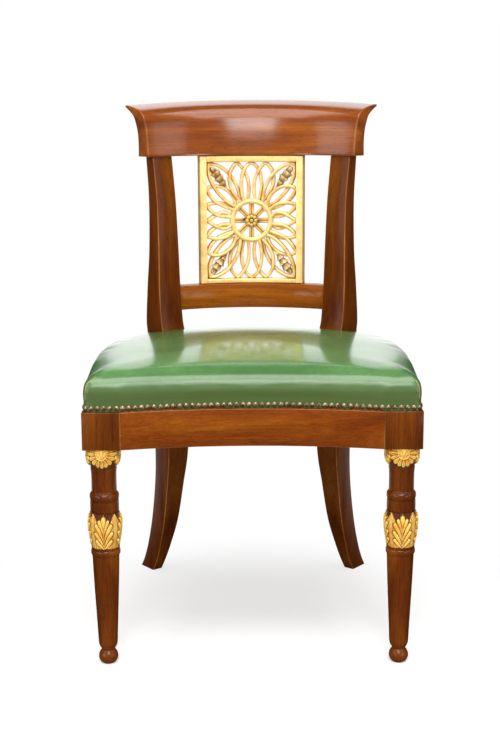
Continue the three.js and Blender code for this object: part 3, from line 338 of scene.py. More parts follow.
def first_material_only(mesh):
    mesh.polygons.foreach_set("material_index", [0] * len(mesh.polygons))


def apply_modifiers(piece):
    bpy.context.view_layer.update()
    graph = bpy.context.evaluated_depsgraph_get()
    mesh = bpy.data.meshes.new_from_object(piece.evaluated_get(graph), depsgraph=graph)
    old = piece.data
    mesh.name = old.name
    piece.modifiers.clear()
    piece.data = mesh
    bpy.data.meshes.remove(old)
    return piece


def soften(piece, width, worn=None, angle=30, segments=2):
    bevel = piece.modifiers.new("arris", "BEVEL")
    bevel.width = width * mm
    bevel.segments = segments
    bevel.limit_method = "ANGLE"
    bevel.angle_limit = math.radians(angle)
    bevel.harden_normals = False
    if worn:
        piece.data.materials.append(worn)
        bevel.material = len(piece.data.materials) - 1
    return apply_modifiers(piece)


def place_on_chair(piece, slot, *nodes):
    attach(piece, "root")
    if nodes:
        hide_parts(*nodes)
    return piece


def mirrored_copy(piece, name):
    mesh = piece.data.copy()
    mesh.name = name
    mesh.transform(Matrix.Scale(-1, 4, (1, 0, 0)))
    mesh.flip_normals()
    return add_object(name, mesh)


def place_pair(right, slot, node):
    left = mirrored_copy(right, right.name.replace("right", "left"))
    place_on_chair(right, slot, f"{node}_right")
    place_on_chair(left, slot, f"{node}_left")


def spline(points, steps):
    points = np.asarray(points, float)
    ends = np.vstack([2 * points[0] - points[1], points, 2 * points[-1] - points[-2]])
    line = []
    for k in range(len(points) - 1):
        a, b, c, d = ends[k:k + 4]
        for t in np.arange(steps) / steps:
            line.append(0.5 * (2 * b + (c - a) * t + (2 * a - 5 * b + 4 * c - d) * t ** 2
                               + (3 * b - a - 3 * c + d) * t ** 3))
    line.append(points[-1])
    return np.array(line)


def bezier(control, t):
    return (control[0] * (1 - t) ** 3 + 3 * control[1] * t * (1 - t) ** 2
            + 3 * control[2] * t ** 2 * (1 - t) + control[3] * t ** 3)


def full_turn(segments):
    return np.arange(segments) * 2 * math.pi / segments


print("mesh helpers ready")

# %% [markdown]
# ## Where the chair's own lines are
# These are the sizes the joiner works from. The back of the chair, rails, crest and splat, lies on
# arcs about one upright axis that stands in the middle of the seat. The rear legs are sawn from
# boards that stand in upright planes turned outward by the splay.

# %% sizes and places
leg_axis_x, leg_axis_y, _ = ((low + high) / 2 / mm
                             for low, high in zip(*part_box("front_leg_block_right")))
back_axis_y = leg_axis_y + 148
back_radius = 310
stile_angle = math.radians(32.2)
leg_splay = math.radians(38)
block_half = 29
block_inner = leg_axis_x - block_half
seat_half_width = leg_axis_x + block_half
crest_bottom = 782.5
rear_rail_radius = 298
front_sagitta = 25
front_arc_radius = (block_inner ** 2 + front_sagitta ** 2) / (2 * front_sagitta)
front_arc_centre = leg_axis_y + front_sagitta - block_half - front_arc_radius


def on_arc(radius, angle, height):
    radius, angle, height = np.broadcast_arrays(radius, angle, height)
    return np.stack([radius * np.sin(angle), back_axis_y + radius * np.cos(angle), height], -1)


def arc_grain(places):
    angle = np.arctan2(places[:, 0], places[:, 1] - back_axis_y)
    radius = np.hypot(places[:, 0], places[:, 1] - back_axis_y)
    return np.stack([angle * back_radius, places[:, 2], radius], -1)


def upright_grain(places):
    return places[:, [2, 0, 1]]


def sideways_grain(places):
    return places[:, [0, 2, 1]]


def lengthways_grain(places):
    return places[:, [1, 2, 0]]


leg_origin_u = back_radius * math.cos(leg_splay - stile_angle)
leg_origin_w = back_radius * math.sin(leg_splay - stile_angle)


def in_leg_plane(u, w, height):
    u, w, height = np.broadcast_arrays(leg_origin_u + u, leg_origin_w + w, height)
    x = u * math.sin(leg_splay) - w * math.cos(leg_splay)
    y = back_axis_y + u * math.cos(leg_splay) + w * math.sin(leg_splay)
    return np.stack([x, y, height], -1)


def along_leg_plane(beside, behind):
    return (beside * math.sin(leg_splay) + behind * math.cos(leg_splay),
            -beside * math.cos(leg_splay) + behind * math.sin(leg_splay))


def leg_plane_grain(places):
    u, w = along_leg_plane(np.abs(places[:, 0]), places[:, 1] - back_axis_y)
    other_board = np.sign(places[:, 0]) * 300
    return np.stack([places[:, 2], u + other_board, w], -1)


print("front leg axis", round(leg_axis_x, 1), round(leg_axis_y, 1))

# %% [markdown]
# ## Rear legs
# Each rear leg and the stile above it is one board, sabre-curved below the seat and raked above
# it. It is lofted from the same stations as the frame, more finely, and its arrises are softened.
# A station is a share of the height, then shares of the sweep, the depth and the width.

# %% rear legs
stile_top = crest_bottom - 0.3
rear_leg_stations = [
    (0, 1.02, 0.75, 0.43), (0.028, 0.85, 0.76, 0.44), (0.072, 0.65, 0.75, 0.53),
    (0.141, 0.4, 0.757, 0.675), (0.235, 0.194, 0.766, 0.785), (0.322, 0.045, 0.85, 0.915),
    (0.46, 0, 0.97, 0.97), (0.53, 0.04, 1, 0.99), (0.593, 0.128, 1, 1),
    (0.628, 0.224, 0.906, 1), (0.708, 0.286, 0.728, 0.967), (0.789, 0.309, 0.594, 0.91),
    (0.903, 0.369, 0.502, 0.85), (1, 0.5, 0.42, 0.85),
]
rear_leg_sweep, rear_leg_set, rear_leg_depth, rear_leg_width = 80, 52, 53, 48


def rear_leg_rings(steps, grown=0.0):
    rings = []
    for height, front, depth, width in spline(rear_leg_stations, steps):
        near = front * rear_leg_sweep - rear_leg_set - grown
        far = near + depth * rear_leg_depth + 2 * grown
        half = width * rear_leg_width / 2 + grown
        corners = [(near, -half), (far, -half), (far, half), (near, half)]
        rings.append([in_leg_plane(u, w, height * stile_top) for u, w in corners])
    return np.array(rings)


def rear_leg_mesh(name, grown=0.0, steps=7):
    return add_rings(name, rear_leg_rings(steps, grown), polished["back"])


rear_leg = rear_leg_mesh("rear_leg_shown_right")
write_grain(rear_leg, leg_plane_grain)
soften(rear_leg, 1.3, rubbed_edge, angle=50, segments=3)
shade(rear_leg)
place_pair(rear_leg, "mahogany", "rear_leg")
print("rear leg faces:", len(rear_leg.data.polygons))

# %% [markdown]
# ## Crest rail
# The crest is the chair's showpiece: one thick board, hollowed across the front, its top edge
# rolled over backward into a nose that follows the arc, and a hand's width deep at the middle
# where it is arched. It is swept along the arc from its own end profile, given as shares of reach
# and height.

# %% crest rail
crest_front_radius, crest_reach, crest_end_height, crest_rise = 293.4, 70, 89.5, 9
crest_half_angle = math.radians(38.3)
crest_front = [(0, 0), (0.04, 0.32), (0.1, 0.61), (0.21, 0.8), (0.375, 0.9), (0.62, 0.953),
               (0.9, 0.995)]
crest_nose = [(0.9, 0.995), (0.985, 0.995), (1, 0.972), (0.97, 0.952)]
crest_back = [(0.97, 0.952), (0.83, 0.895), (0.65, 0.8), (0.563, 0.702), (0.48, 0.547),
              (0.437, 0.391), (0.424, 0.235), (0.43, 0)]
crest_line = np.vstack([spline(crest_front, 6)[:-1], spline(crest_nose, 3)[:-1],
                        spline(crest_back, 6)])
crest_rings = []
for turn in np.linspace(-1, 1, 97):
    height = crest_end_height + crest_rise * (1 - turn ** 2)
    crest_rings.append(on_arc(crest_front_radius + crest_line[:, 0] * crest_reach,
                              turn * crest_half_angle, crest_bottom + crest_line[:, 1] * height))
crest = add_rings("crest_rail_shown", crest_rings, polished["crest"])
write_grain(crest, arc_grain)
soften(crest, 1.2, rubbed_edge, angle=40)
shade(crest)
place_on_chair(crest, "mahogany", "crest_rail")
print("crest faces:", len(crest.data.polygons))

# %% [markdown]
# ## Rails and leg blocks
# The rails are right as the frame has them, so each is a copy of its node with merged points,
# arrises rubbed soft with a small bevel, and grain that runs the way the board was cut.


# %% rails and blocks
def copied_node(node, name, material, flatten=True):
    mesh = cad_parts[node].data.copy()
    mesh.name = name
    mesh.materials.clear()
    mesh.materials.append(material)
    work = bmesh.new()
    work.from_mesh(mesh)
    bmesh.ops.remove_doubles(work, verts=work.verts, dist=0.02 * mm)
    if flatten:
        bmesh.ops.dissolve_limit(work, angle_limit=math.radians(0.5), verts=work.verts,
                                 edges=work.edges)
    volume = work.calc_volume()
    work.to_mesh(mesh)
    work.free()
    first_material_only(mesh)
    return add_object(name, mesh), volume


def dressed(node, material, grain, side="", width=0.9, worn=rubbed_edge, slot="mahogany"):
    piece, _ = copied_node(node + side, f"{node}_shown{side}", material)
    write_grain(piece, grain)
    soften(piece, width, worn)
    shade(piece)
    return place_on_chair(piece, slot, node + side)


dressed("front_seat_rail", polished["rail"], sideways_grain)
dressed("rear_seat_rail", polished["rail"], arc_grain)
dressed("lower_back_rail", polished["lower_rail"], arc_grain)
for side, _ in sides:
    dressed("side_seat_rail", polished["rail"], lengthways_grain, f"_{side}")
    dressed("front_leg_block", polished["back"], upright_grain, f"_{side}")
print("rails and blocks dressed")

# %% [markdown]
# ## Gold leaf
# The carving and the splat are water-gilded: clay and gesso, a thin orange-red clay called bole,
# and gold leaf over it, burnished on the high places and left soft in the hollows. Where leaf is
# rubbed thin the bole warms it, and toned size has settled brown in the recesses. So the material
# reads an attribute for recess and shade that the carved pieces carry, 0 on the heights and 1 in
# the deepest cuts, and darkens the gold there: partly that toning, and partly painted shade in the
# cuts, on the sides of the bands and round the lobes. An occlusion node paints more shade into
# corners that little light can reach. On the legs the ground between the leaves is left as bare
# mahogany, which a second attribute marks.


# %% gilding
def gilding(name, leaf, warm, hollow, metallic=0.3, corner=4.0):
    material, add = new_material(name)
    place = add("TexCoord").outputs["Object"]
    patches = add("TexNoise", {"Vector": place, "Scale": 1 / (16 * mm), "Detail": 4.0,
                               "Roughness": 0.6})
    grit = add("TexNoise", {"Vector": place, "Scale": 1 / (1.4 * mm), "Detail": 2.0})
    rubbed = add("ValToRGB", {"Fac": patches}, stops=[(0.44, leaf), (0.66, warm)])
    # Ambient occlusion paints shade into corners that little light can reach.
    open_air = add("AmbientOcclusion", {"Distance": corner * mm}, samples=8).outputs["AO"]
    corner_shade = add("MapRange", {"Value": open_air, "From Min": 0.9, "From Max": 0.42, "To Max": 0.9})
    # The recess and shade attribute darkens the gold toward the hollow colour: partly toned size,
    # partly painted shade.
    recess_shade = add("Attribute", attribute_name="recess_shade").outputs["Fac"]
    toning_and_shade = add("MapRange", {"Value": recess_shade, "From Min": 0.25, "From Max": 1.0, "To Max": 0.9})
    deep = add("Math", {0: toning_and_shade, 1: corner_shade}, operation="MAXIMUM")
    gold = add("Mix", {0: deep, 6: rubbed, 7: hollow}, **blended).outputs[2]
    bare = add("Attribute", attribute_name="bare").outputs["Fac"]
    colour = add("Mix", {0: bare, 6: gold, 7: "#55270a"}, **blended).outputs[2]
    metal = add("MapRange", {"Value": bare, "To Min": metallic, "To Max": 0.0})
    bump = add("Bump", {"Height": grit, "Strength": 0.12, "Distance": 0.0004})
    return surfaced(material, add, {"Base Color": colour, "Metallic": metal, "Roughness": 0.38,
                                    "Normal": bump})


gilt_panel = gilding("water_gilding_splat", "#fcd990", "#efbe6c", "#b0772c")
gilt_fret = gilding("water_gilding_fretwork", "#f9d68a", "#e6b05c", "#a4601a", corner=7.0)
gilt_spoke = gilding("toned_gilding_spokes", "#e9c06a", "#cf9840", "#6f4210", corner=5.0)
gilt_leg = gilding("water_gilding_leg_carving", "#fdcc64", "#eeaa40", "#6c3804", 0.22, 3.0)
gilt_bud = gilding("toned_gilding_buds", "#fbd892", "#dba250", "#4e2c06", 0.2, 3.5)
print("gilding made")

# %% [markdown]
# ## Front legs, turned
# Each front leg is turned in the lathe and parcel gilt. A turned piece is one outline spun round
# an axis, so it is made as rings of points. The outline is finer than the frame's: a bead, a
# fillet or a quirk a millimetre deep is what catches the light on real turning. Each pair below is
# a radius and a height.


# %% turning
def round_leg(radius, turn, height):
    turn, height = np.broadcast_arrays(turn, height)
    return np.stack([leg_axis_x + radius * np.cos(turn), leg_axis_y + radius * np.sin(turn),
                     height], -1)


def rounded(points, steps=4):
    return [tuple(point) for point in spline(points, steps)]


spigot = 11
shaft_base = [(21.4, 252), (22.3, 253), (22.5, 256), (22.5, 264), (22.2, 269.4)]
shaft_bead = [(22, 271.8), (22.8, 274), (23.0, 277), (22.6, 280), (21.4, 282.2), (20.3, 283.2)]
shaft_neck = [(20, 284.4), (19.7, 286), (19.5, 300), (19.7, 314), (20.3, 320), (20.4, 323.7)]
ball_foot = [(8.5, 0), (9.2, 0.7), (12.4, 3.2), (14.7, 7.4), (15.3, 11.6), (14.8, 15.6),
             (13.2, 19), (11.4, 21.5), (10.7, 22.6)]
ankle = [(10.6, 23.4), (11.2, 25.2), (12.8, 27.8), (14.2, 31), (14.9, 34.5), (15.2, 38)]
knee_bead = [(21.9, 182), (22.9, 184), (23.1, 186.6), (22.8, 189), (22, 190.8)]
turned_outlines = {
    "shaft": ("leg", [
        (spigot, 276), (spigot, 252), *rounded(shaft_base), (21.3, 269.8), (21.2, 271.2),
        *rounded(shaft_bead), *rounded(shaft_neck), (spigot, 323.7), (spigot, 380)]),
    # The lower part takes the lightened tone, painted light against the shade low on the leg.
    "lower": ("foot_lightened", [
        *rounded(ball_foot), *rounded(ankle), (15.9, 56), (17.2, 84), (18.7, 116), (19.9, 144),
        (20.7, 166), (21.1, 179.5), (21.2, 181.4), *rounded(knee_bead), (21.2, 191.2),
        (21.3, 192.6), (22, 193), (22.1, 194.7), (spigot, 194.7), (spigot, 251)]),
}
for part, (tone, outline) in turned_outlines.items():
    rings = [round_leg(radius, full_turn(72), height) for radius, height in outline]
    turned = add_rings(f"front_leg_{part}_shown_right", rings, polished[tone])
    write_grain(turned, upright_grain)
    shade(turned, 28)
    place_pair(turned, "mahogany", f"front_leg_{part}")
    print("front leg", part, "rings:", len(rings))

# %% [markdown]
# ## Front legs, carved
# Two gilt sleeves are carved on each leg. The capital under the seat block has a shell in a ring
# on each face, and grooved petals fan out below it. The knee has four acanthus leaves with curling
# lobes, and plain pointed leaves stand behind them. Low relief on a round body is a height field:
# the radius at each turn and height is the body's own plus a depth read from a rule. The same rule
# says how deep each point lies, for the toning and painted shade in the cuts and round the lobes,
# and where no leaf is, for the bare wood.

# %% carving
sleeve_bore = 11.3
carving_depth = 2.8


def carved_sleeve(name, bottom, top, body, relief, segments=448, rows=120):
    turns = full_turn(segments)
    turn, height = np.meshgrid(turns, np.linspace(bottom, top, rows))
    radius, toning_and_shade, bare = relief(turn, height, np.interp(height, *np.array(body).T))
    bore = [round_leg(sleeve_bore, turns, level)[None] for level in (bottom, top)]
    rings = np.vstack([bore[0], round_leg(radius, turn, height), bore[1]])
    piece = add_rings(name, rings, gilt_leg, bored=True, merge=False)
    edge = np.zeros(segments)
    for layer, values in (("recess_shade", toning_and_shade), ("bare", bare)):
        write_layer(piece.data, layer, np.concatenate([edge, values.ravel(), edge]))
    shade(piece, 60)
    return piece


def hill(value, width):
    return np.clip(1 - (value / width) ** 2, 0, 1)


def step(value, soft=0.5):
    return np.clip(value / soft + 0.5, 0, 1)


def quarter_turn(turn, share=0.0):
    quarter = math.pi / 2
    return (turn + quarter * (0.5 + share)) % quarter - quarter / 2


def fan_relief(turn, height, envelope):
    body_radius, ground_radius, block_radius = 27.5, 20.0, 27.2
    shell_centre, shell_edge, ring_radius, petals_in_turn = 348.6, 9.9, 8.9, 8
    petal_reach, petal_scallop = 20.6, 2.6
    across = quarter_turn(turn) * body_radius
    down = shell_centre - height
    reach = np.hypot(across, down)
    lean = np.arctan2(across, down)
    petal = np.abs(np.cos(lean * petals_in_turn)) ** 0.8
    on_petal = step(petal_reach + petal_scallop * petal - reach)
    crease = hill(np.sin(lean * petals_in_turn), 0.22) * hill(reach - 15, 7)
    swell = np.interp(reach, [9, 13, 19, 23], [-0.6, 0.1, 0.7, 0.1])
    fan = 2.2 * petal + swell - 0.9 * crease
    ring = hill(reach - ring_radius, 1.0)
    from_hinge = 7.5 - down
    flute = np.abs(np.cos(np.arctan2(across, from_hinge) * 4.5)) ** 0.6
    knob = hill(np.hypot(across, from_hinge), 4)
    shell = 0.3 + 1.5 * flute * hill(reach, 8.6) ** 0.5 + 0.4 * knob
    in_ring = np.maximum(ring + 1.0, shell * step(8.0 - reach) + 0.2)
    relief = np.clip(np.where(reach < shell_edge, in_ring, fan), 0, carving_depth)
    top_band = step(height - 354.2, 0.6)
    radius = (envelope - carving_depth + relief) * on_petal + ground_radius * (1 - on_petal)
    radius = np.where(top_band > 0.5, block_radius, radius)
    ground = step(down, 0.8) * (1 - on_petal)
    # Lower relief is painted darker: the toning in the cuts, and painted shade.
    toning_and_shade = np.where(reach < shell_edge, 1 - relief / 2.6, 1.05 - relief / 2.7)
    return radius, np.clip(toning_and_shade, 0, 1) * (1 - top_band), ground * (1 - top_band)


# Each lobe of a leaf runs from its root by a middle point to its tip, across and up, with a width.
leaf_lobes = [((0.9, 195.5), (6.5, 200.5), (13.0, 207.5), 3.5),
              ((0.9, 199), (5.2, 210), (13.4, 220.5), 3.6),
              ((0.8, 208), (4.4, 221), (12.0, 233.5), 3.5),
              ((0.6, 220), (2.8, 231), (7.3, 240.8), 2.8),
              ((0, 229), (0, 237), (0, 244.6), 3.8)]


def acanthus_relief(turn, height, envelope):
    body_radius, bare_radius = 26.5, 22.2
    across = np.abs(quarter_turn(turn) * body_radius)
    best = np.full(turn.shape, 9.0)
    rise = np.zeros(turn.shape)
    for start, middle, end, width in leaf_lobes:
        for share in np.linspace(0, 1, 19):
            spot = (np.array(start) * (1 - share) ** 2 + 2 * np.array(middle) * share * (1 - share)
                    + np.array(end) * share ** 2)
            wide = width * (0.2 + 0.8 * min(1, 1.3 * share)) * (1 - 0.12 * share ** 3)
            away = np.hypot(across - spot[0], height - spot[1]) / wide
            rise = np.where(away < best, 1.3 + 1.3 * share, rise)
            best = np.minimum(best, away)
    lobe = np.sqrt(np.clip(1 - best ** 2, 0, 1)) * rise
    half = np.interp(height, [195, 204, 218, 231, 240, 246, 249.4],
                     [6, 7, 8.5, 7.5, 5.6, 4.2, 1.0])
    membrane = step(half - across, 0.8)
    vein = 1.2 * hill(across, 0.9) * (height < 232)
    front = np.maximum(lobe + 0.2 * (best < 1), membrane * 0.3 + vein)
    on_front = np.maximum(step(1.02 - best, 0.12), membrane)
    behind = np.abs(quarter_turn(turn, 0.5) * body_radius)
    point = np.interp(height, [195, 215, 238, 251.5], [10.5, 11.5, 9, 0.2])
    on_behind = step(point - behind, 0.8)
    groove = 0.4 * hill(behind - 4.5, 0.8)
    relief = np.maximum(front, on_behind * (0.8 + 0.4 * hill(behind, 1.1) - groove))
    leaf = np.maximum(on_front, on_behind)
    # Low parts of the front leaves, the leaves behind, their grooves and the ground round each lobe
    # are painted darker: painted shade under and beside the lobes, with some toning in the cuts.
    rim_shade = np.clip((1.75 - best) / 0.6, 0, 1)
    toning_and_shade = np.where(on_front > 0.5, np.clip(1.05 - relief / 2.0, 0, 1),
                    0.42 * on_behind + groove + 0.6 * rim_shade)
    free = step(height - 236, 3)
    ground = (envelope - carving_depth) * (1 - free) + bare_radius * free
    radius = np.where(leaf > 0.5, envelope - carving_depth + relief, ground)
    return radius, np.clip(toning_and_shade, 0, 1), (1 - leaf) * free


capital_body = [(324, 21.6), (327, 23.0), (331, 25.8), (337, 28.0), (341, 28.6), (356, 28.6)]
knee_body = [(195, 23.4), (202, 24.4), (212, 26.2), (224, 27.8), (237, 27.8), (246, 26.6),
             (252, 26.2)]
for part, bottom, top, body, relief in (("capital", 324, 355.7, capital_body, fan_relief),
                                        ("acanthus", 195, 251.7, knee_body, acanthus_relief)):
    carved = carved_sleeve(f"front_leg_{part}_shown_right", bottom, top, body, relief)
    place_pair(carved, "giltwood", f"front_leg_{part}")
print("carved faces each:", len(carved.data.polygons))

# %% [markdown]
# ## Splat frame
# The pierced panel between the stiles is framed like a small door: two uprights with a bar above
# and a bar below, all gilt. The frame's own solids are right, so they are dressed as the rails
# were.

# %% splat frame
for node in ("splat_stile_left", "splat_stile_right", "splat_top_bar", "splat_bottom_bar"):
    dressed(node, gilt_panel, arc_grain, width=0.5, worn=None, slot="giltwood")
print("splat frame dressed")

# %% [markdown]
# ## Fretwork of looped bands
# Twenty pointed loops fan out from the roundel, and each laps over the next one round. A loop is
# one band: its two sides are curves from the roundel out to the tip, and a crowned section is
# carried along them, mitred at the tip. The loop is tilted a little about its own axis, so one
# side lies on the neighbour and the other side under it. What is drawn flat is then bent onto the
# arc of the back.

# %% fretwork
splat_radius = 304.5
splat_middle = 664.25
fret_reach = np.array([87.1, 109.05])
loop_count, loop_band, loop_root_run, loop_tilt = 20, 6.2, 9, 0.125
loop_shares = [
    [[(-0.178, 0.376), (-0.238, 0.55), (-0.242, 0.878), (0, 0.963)],
     [(0.178, 0.376), (0.238, 0.55), (0.242, 0.878), (0, 0.963)]],
    [[(0.067, 0.376), (0.023, 0.597), (0.069, 0.813), (0.299, 0.963)],
     [(0.299, 0.376), (0.491, 0.539), (0.544, 0.812), (0.299, 0.963)]],
    [[(0.247, 0.394), (0.282, 0.652), (0.552, 0.95), (0.901, 0.945)],
     [(0.396, 0.261), (0.665, 0.355), (0.982, 0.707), (0.901, 0.945)]],
    [[(0.339, 0.293), (0.381, 0.499), (0.73, 0.667), (0.953, 0.523)],
     [(0.442, 0.197), (0.72, 0.273), (0.806, 0.311), (0.953, 0.523)]],
    [[(0.413, 0.197), (0.536, 0.314), (0.79, 0.32), (0.953, 0.257)],
     [(0.465, 0.064), (0.67, 0.056), (0.843, 0.116), (0.953, 0.257)]],
    [[(0.459, 0.092), (0.614, 0.21), (0.808, 0.05), (0.953, 0)],
     [(0.459, -0.092), (0.614, -0.21), (0.808, -0.05), (0.953, 0)]],
]
band_section = [(-1, 4.5), (-1, -2.9), (-0.86, -3.7), (-0.45, -4.4), (0, -4.6), (0.45, -4.4),
                (0.86, -3.7), (1, -2.9), (1, 4.5)]
# The sides of each band are painted darker than its crown: painted shade along the edges of the
# band.
band_side_shade = [0.4, 0.6, 0.45, 0, 0, 0, 0.45, 0.6, 0.4]


def loop_line(index, steps=20):
    from_top = min(index, loop_count - index)
    row = min(from_top, loop_count // 2 - from_top)
    quarter = [1 if index < loop_count / 2 else -1, 1 if from_top <= loop_count / 4 else -1]
    sides = []
    for shares in loop_shares[row]:
        control = np.array(shares) * quarter * fret_reach
        inward = control[0] - control[1]
        start = control[0] + inward * loop_root_run / np.linalg.norm(inward)
        sides.append(np.vstack([start, bezier(control, np.linspace(0, 1, steps + 1)[:, None])]))
    near, far = sides
    root = (near[0] + far[0]) / 2
    return np.vstack([near, far[-2::-1]]), root, near[-1] - root


def bent_place(points):
    x, y, z = np.moveaxis(np.asarray(points, float), -1, 0)
    limit_x, limit_z = fret_reach - 0.3
    return on_arc(splat_radius + y, np.clip(x, -limit_x, limit_x) / splat_radius,
                  np.clip(z, -limit_z, limit_z) + splat_middle)


def unit(rows):
    return rows / np.linalg.norm(rows, axis=-1, keepdims=True)


def loop_rings(index):
    line, root, run = loop_line(index)
    axis = unit(run)
    legs = unit(np.diff(line, axis=0))
    before, after = np.vstack([legs[:1], legs]), np.vstack([legs, legs[-1:]])
    ahead = unit(before + after)
    across = np.stack([ahead[:, 1], -ahead[:, 0]], -1)
    mitre = loop_band / 2 / np.abs(across[:, 0] * after[:, 1] - across[:, 1] * after[:, 0])
    share, depth = np.array(band_section).T
    flat = line[:, None] + across[:, None] * mitre[:, None, None] * share[None, :, None]
    clockwise = (flat[..., 0] - root[0]) * axis[1] - (flat[..., 1] - root[1]) * axis[0]
    return bent_place(np.stack([flat[..., 0], depth + clockwise * loop_tilt, flat[..., 1]], -1))


def fret_piece(name, parts, material, toning_and_shade, *nodes):
    size = len(parts[0][0])
    per_part = parts[0].shape[0] * size
    faces = [tuple(start + i for i in face) for start in range(0, per_part * len(parts), per_part)
             for face in ring_faces(len(parts[0]), size)]
    piece = add_mesh(name, parts, faces, material)
    write_layer(piece.data, "recess_shade", toning_and_shade)
    face_outward(piece, merge=False)
    shade(piece, 50)
    print(name, "faces:", len(piece.data.polygons))
    return place_on_chair(piece, "giltwood", *nodes)


loops = [loop_rings(index) for index in range(loop_count)]
fret_piece("splat_fretwork_shown", loops, gilt_fret,
           np.tile(band_side_shade, sum(len(rings) for rings in loops)), "splat_fretwork")

# %% [markdown]
# ## Buds in the corner loops
# A carved bud on a thin stem fills each corner loop. It is a round body in four tiers of leaves,
# and each tier flares and ends in points over the next, in a darker, toned gold, with painted
# shade in the gaps between the leaves.

# %% buds
bud_outline = spline([(1.4, 0), (1.6, 12), (3.2, 17), (6.8, 25), (9.4, 34), (10.2, 42), (9.4, 49),
                      (7.2, 55), (4.4, 59.5), (0.5, 62)], 7)
bud_tiers, bud_low, bud_high, leaves_in_tier, tip_gap = 4, 17, 61, 5, 7


def bud_rings(index, segments=40):
    _, root, run = loop_line(index)
    length = np.linalg.norm(run)
    ahead = run / length
    turns = full_turn(segments)
    rings, toning_and_shade = [], []
    for radius, along in bud_outline:
        tier = np.clip((along - bud_low) / (bud_high - bud_low), 0, 0.999) * bud_tiers
        number, part = divmod(tier, 1)
        point = 0.5 + 0.5 * np.cos(turns * leaves_in_tier + math.pi * number)
        leaf_flare = part ** 1.4 * (0.45 + 0.55 * point)
        flare = leaf_flare if along > bud_low else np.full(segments, 0.8)
        wide = np.maximum(radius, 0.3) * (0.66 + 0.4 * flare)
        reach = length - tip_gap - bud_outline[-1][1] + along
        flat = root + ahead * reach + np.outer(wide * np.cos(turns), [ahead[1], -ahead[0]])
        rings.append(np.stack([flat[:, 0], wide * np.sin(turns) * 0.8, flat[:, 1]], -1))
        # Where the leaves do not flare the gold is painted darker: painted shade in the gaps
        # between the leaves.
        toning_and_shade.append(1 - flare)
    return bent_place(rings), np.ravel(toning_and_shade)


buds, bud_gap_shade = zip(*(bud_rings(index) for index in (2, 8, 12, 18)))
fret_piece("splat_corner_buds", buds, gilt_bud, np.concatenate(bud_gap_shade))

# %% [markdown]
# ## Roundel
# The middle of the panel is a turned ring with eight double spokes and a hub of nine beads. The
# ring is turned. The spokes and beads repeat round a centre, which is what Geometry Nodes do best:
# one rod pair or bead is put on every point of a circle, and the tree's inputs hold the sizes.


# %% node trees
def start_tree(name, inputs):
    tree = bpy.data.node_groups.new(name, "GeometryNodeTree")
    for way in ("INPUT", "OUTPUT"):
        tree.interface.new_socket("Geometry", in_out=way, socket_type="NodeSocketGeometry")
    for label, value in inputs.items():
        kind = "NodeSocketInt" if isinstance(value, int) else "NodeSocketFloat"
        tree.interface.new_socket(label, in_out="INPUT", socket_type=kind).default_value = value
    add = partial(add_node, tree)
    return tree, add, add("NodeGroupInput").outputs


def grow(name, tree, inputs, geometry, material, base=None):
    add = partial(add_node, tree)
    smooth = add("SetShadeSmooth", {"Geometry": add("RealizeInstances", {"Geometry": geometry})})
    painted = add("SetMaterial", {"Geometry": smooth, "Material": material})
    add("NodeGroupOutput", {0: painted})
    piece = add_object(name, base or bpy.data.meshes.new(name))
    modifier = piece.modifiers.new("tree", "NODES")
    modifier.node_group = tree
    for item in tree.interface.items_tree:
        if item.in_out == "INPUT" and item.name in inputs:
            modifier[item.identifier] = inputs[item.name]
    return apply_modifiers(piece)


def joined(add, parts):
    join = add("JoinGeometry")
    for part in parts:
        join.id_data.links.new(part.outputs[0], join.inputs[0])
    return join


print("tree helpers ready")

# %% roundel
roundel_sizes = {"Spokes": 8, "Spoke radius": 2.3 * mm, "Spoke gap": 2.35 * mm,
                 "Hub radius": 11.4 * mm, "Ring radius": 33 * mm, "Beads": 8,
                 "Bead radius": 3.9 * mm}
tree, add, sizes = start_tree("roundel_spokes_and_beads", roundel_sizes)
half = add("Math", {0: sizes["Ring radius"], 1: 2.0}, operation="DIVIDE")
circle = add("MeshCircle", {"Vertices": sizes["Spokes"], "Radius": half})
rod = add("MeshCylinder", {"Vertices": 12, "Radius": sizes["Spoke radius"],
                           "Depth": sizes["Ring radius"]})
rods = []
for sign in (-1.0, 1.0):
    offset = add("Math", {0: sizes["Spoke gap"], 1: sign}, operation="MULTIPLY")
    rods.append(add("Transform", {"Geometry": rod, "Translation": add("CombineXYZ", {"Y": offset}),
                                  "Rotation": (0, math.pi / 2, 0)}))
part = add("Math", {0: 2 * math.pi, 1: sizes["Spokes"]}, operation="DIVIDE")
turned = add("Math", {0: add("InputIndex"), 1: part}, operation="MULTIPLY")
aim = add("EulerToRotation", {0: add("CombineXYZ", {"Z": turned})})
spokes = add("InstanceOnPoints", {"Points": circle, "Instance": joined(add, rods),
                                  "Rotation": aim})
bead = add("MeshUVSphere", {"Segments": 14, "Rings": 9, "Radius": sizes["Bead radius"]})
inner = add("Math", {0: sizes["Hub radius"], 1: sizes["Bead radius"]}, operation="SUBTRACT")
bead_circle = add("MeshCircle", {"Vertices": sizes["Beads"], "Radius": inner})
beads = add("InstanceOnPoints", {"Points": bead_circle, "Instance": bead})
front = add("Transform", {"Geometry": beads, "Translation": (0, 0, 4 * mm)})
middle_bead = add("Transform", {"Geometry": bead, "Translation": (0, 0, 5.4 * mm)})
hub = add("MeshCylinder", {"Vertices": 32, "Radius": sizes["Hub radius"], "Depth": 8 * mm})
rods_and_hub = grow("splat_roundel_spokes", tree, roundel_sizes,
                    joined(add, (spokes, front, middle_bead, hub)), gilt_spoke)
roundel_depth = 297.4 + 5.5 - splat_radius
flat = mesh_points(rods_and_hub)
set_points(rods_and_hub, bent_place(np.stack([flat[:, 0], roundel_depth - flat[:, 2],
                                              flat[:, 1]], -1)))
face_outward(rods_and_hub)
shade(rods_and_hub, 40)
place_on_chair(rods_and_hub, "giltwood")

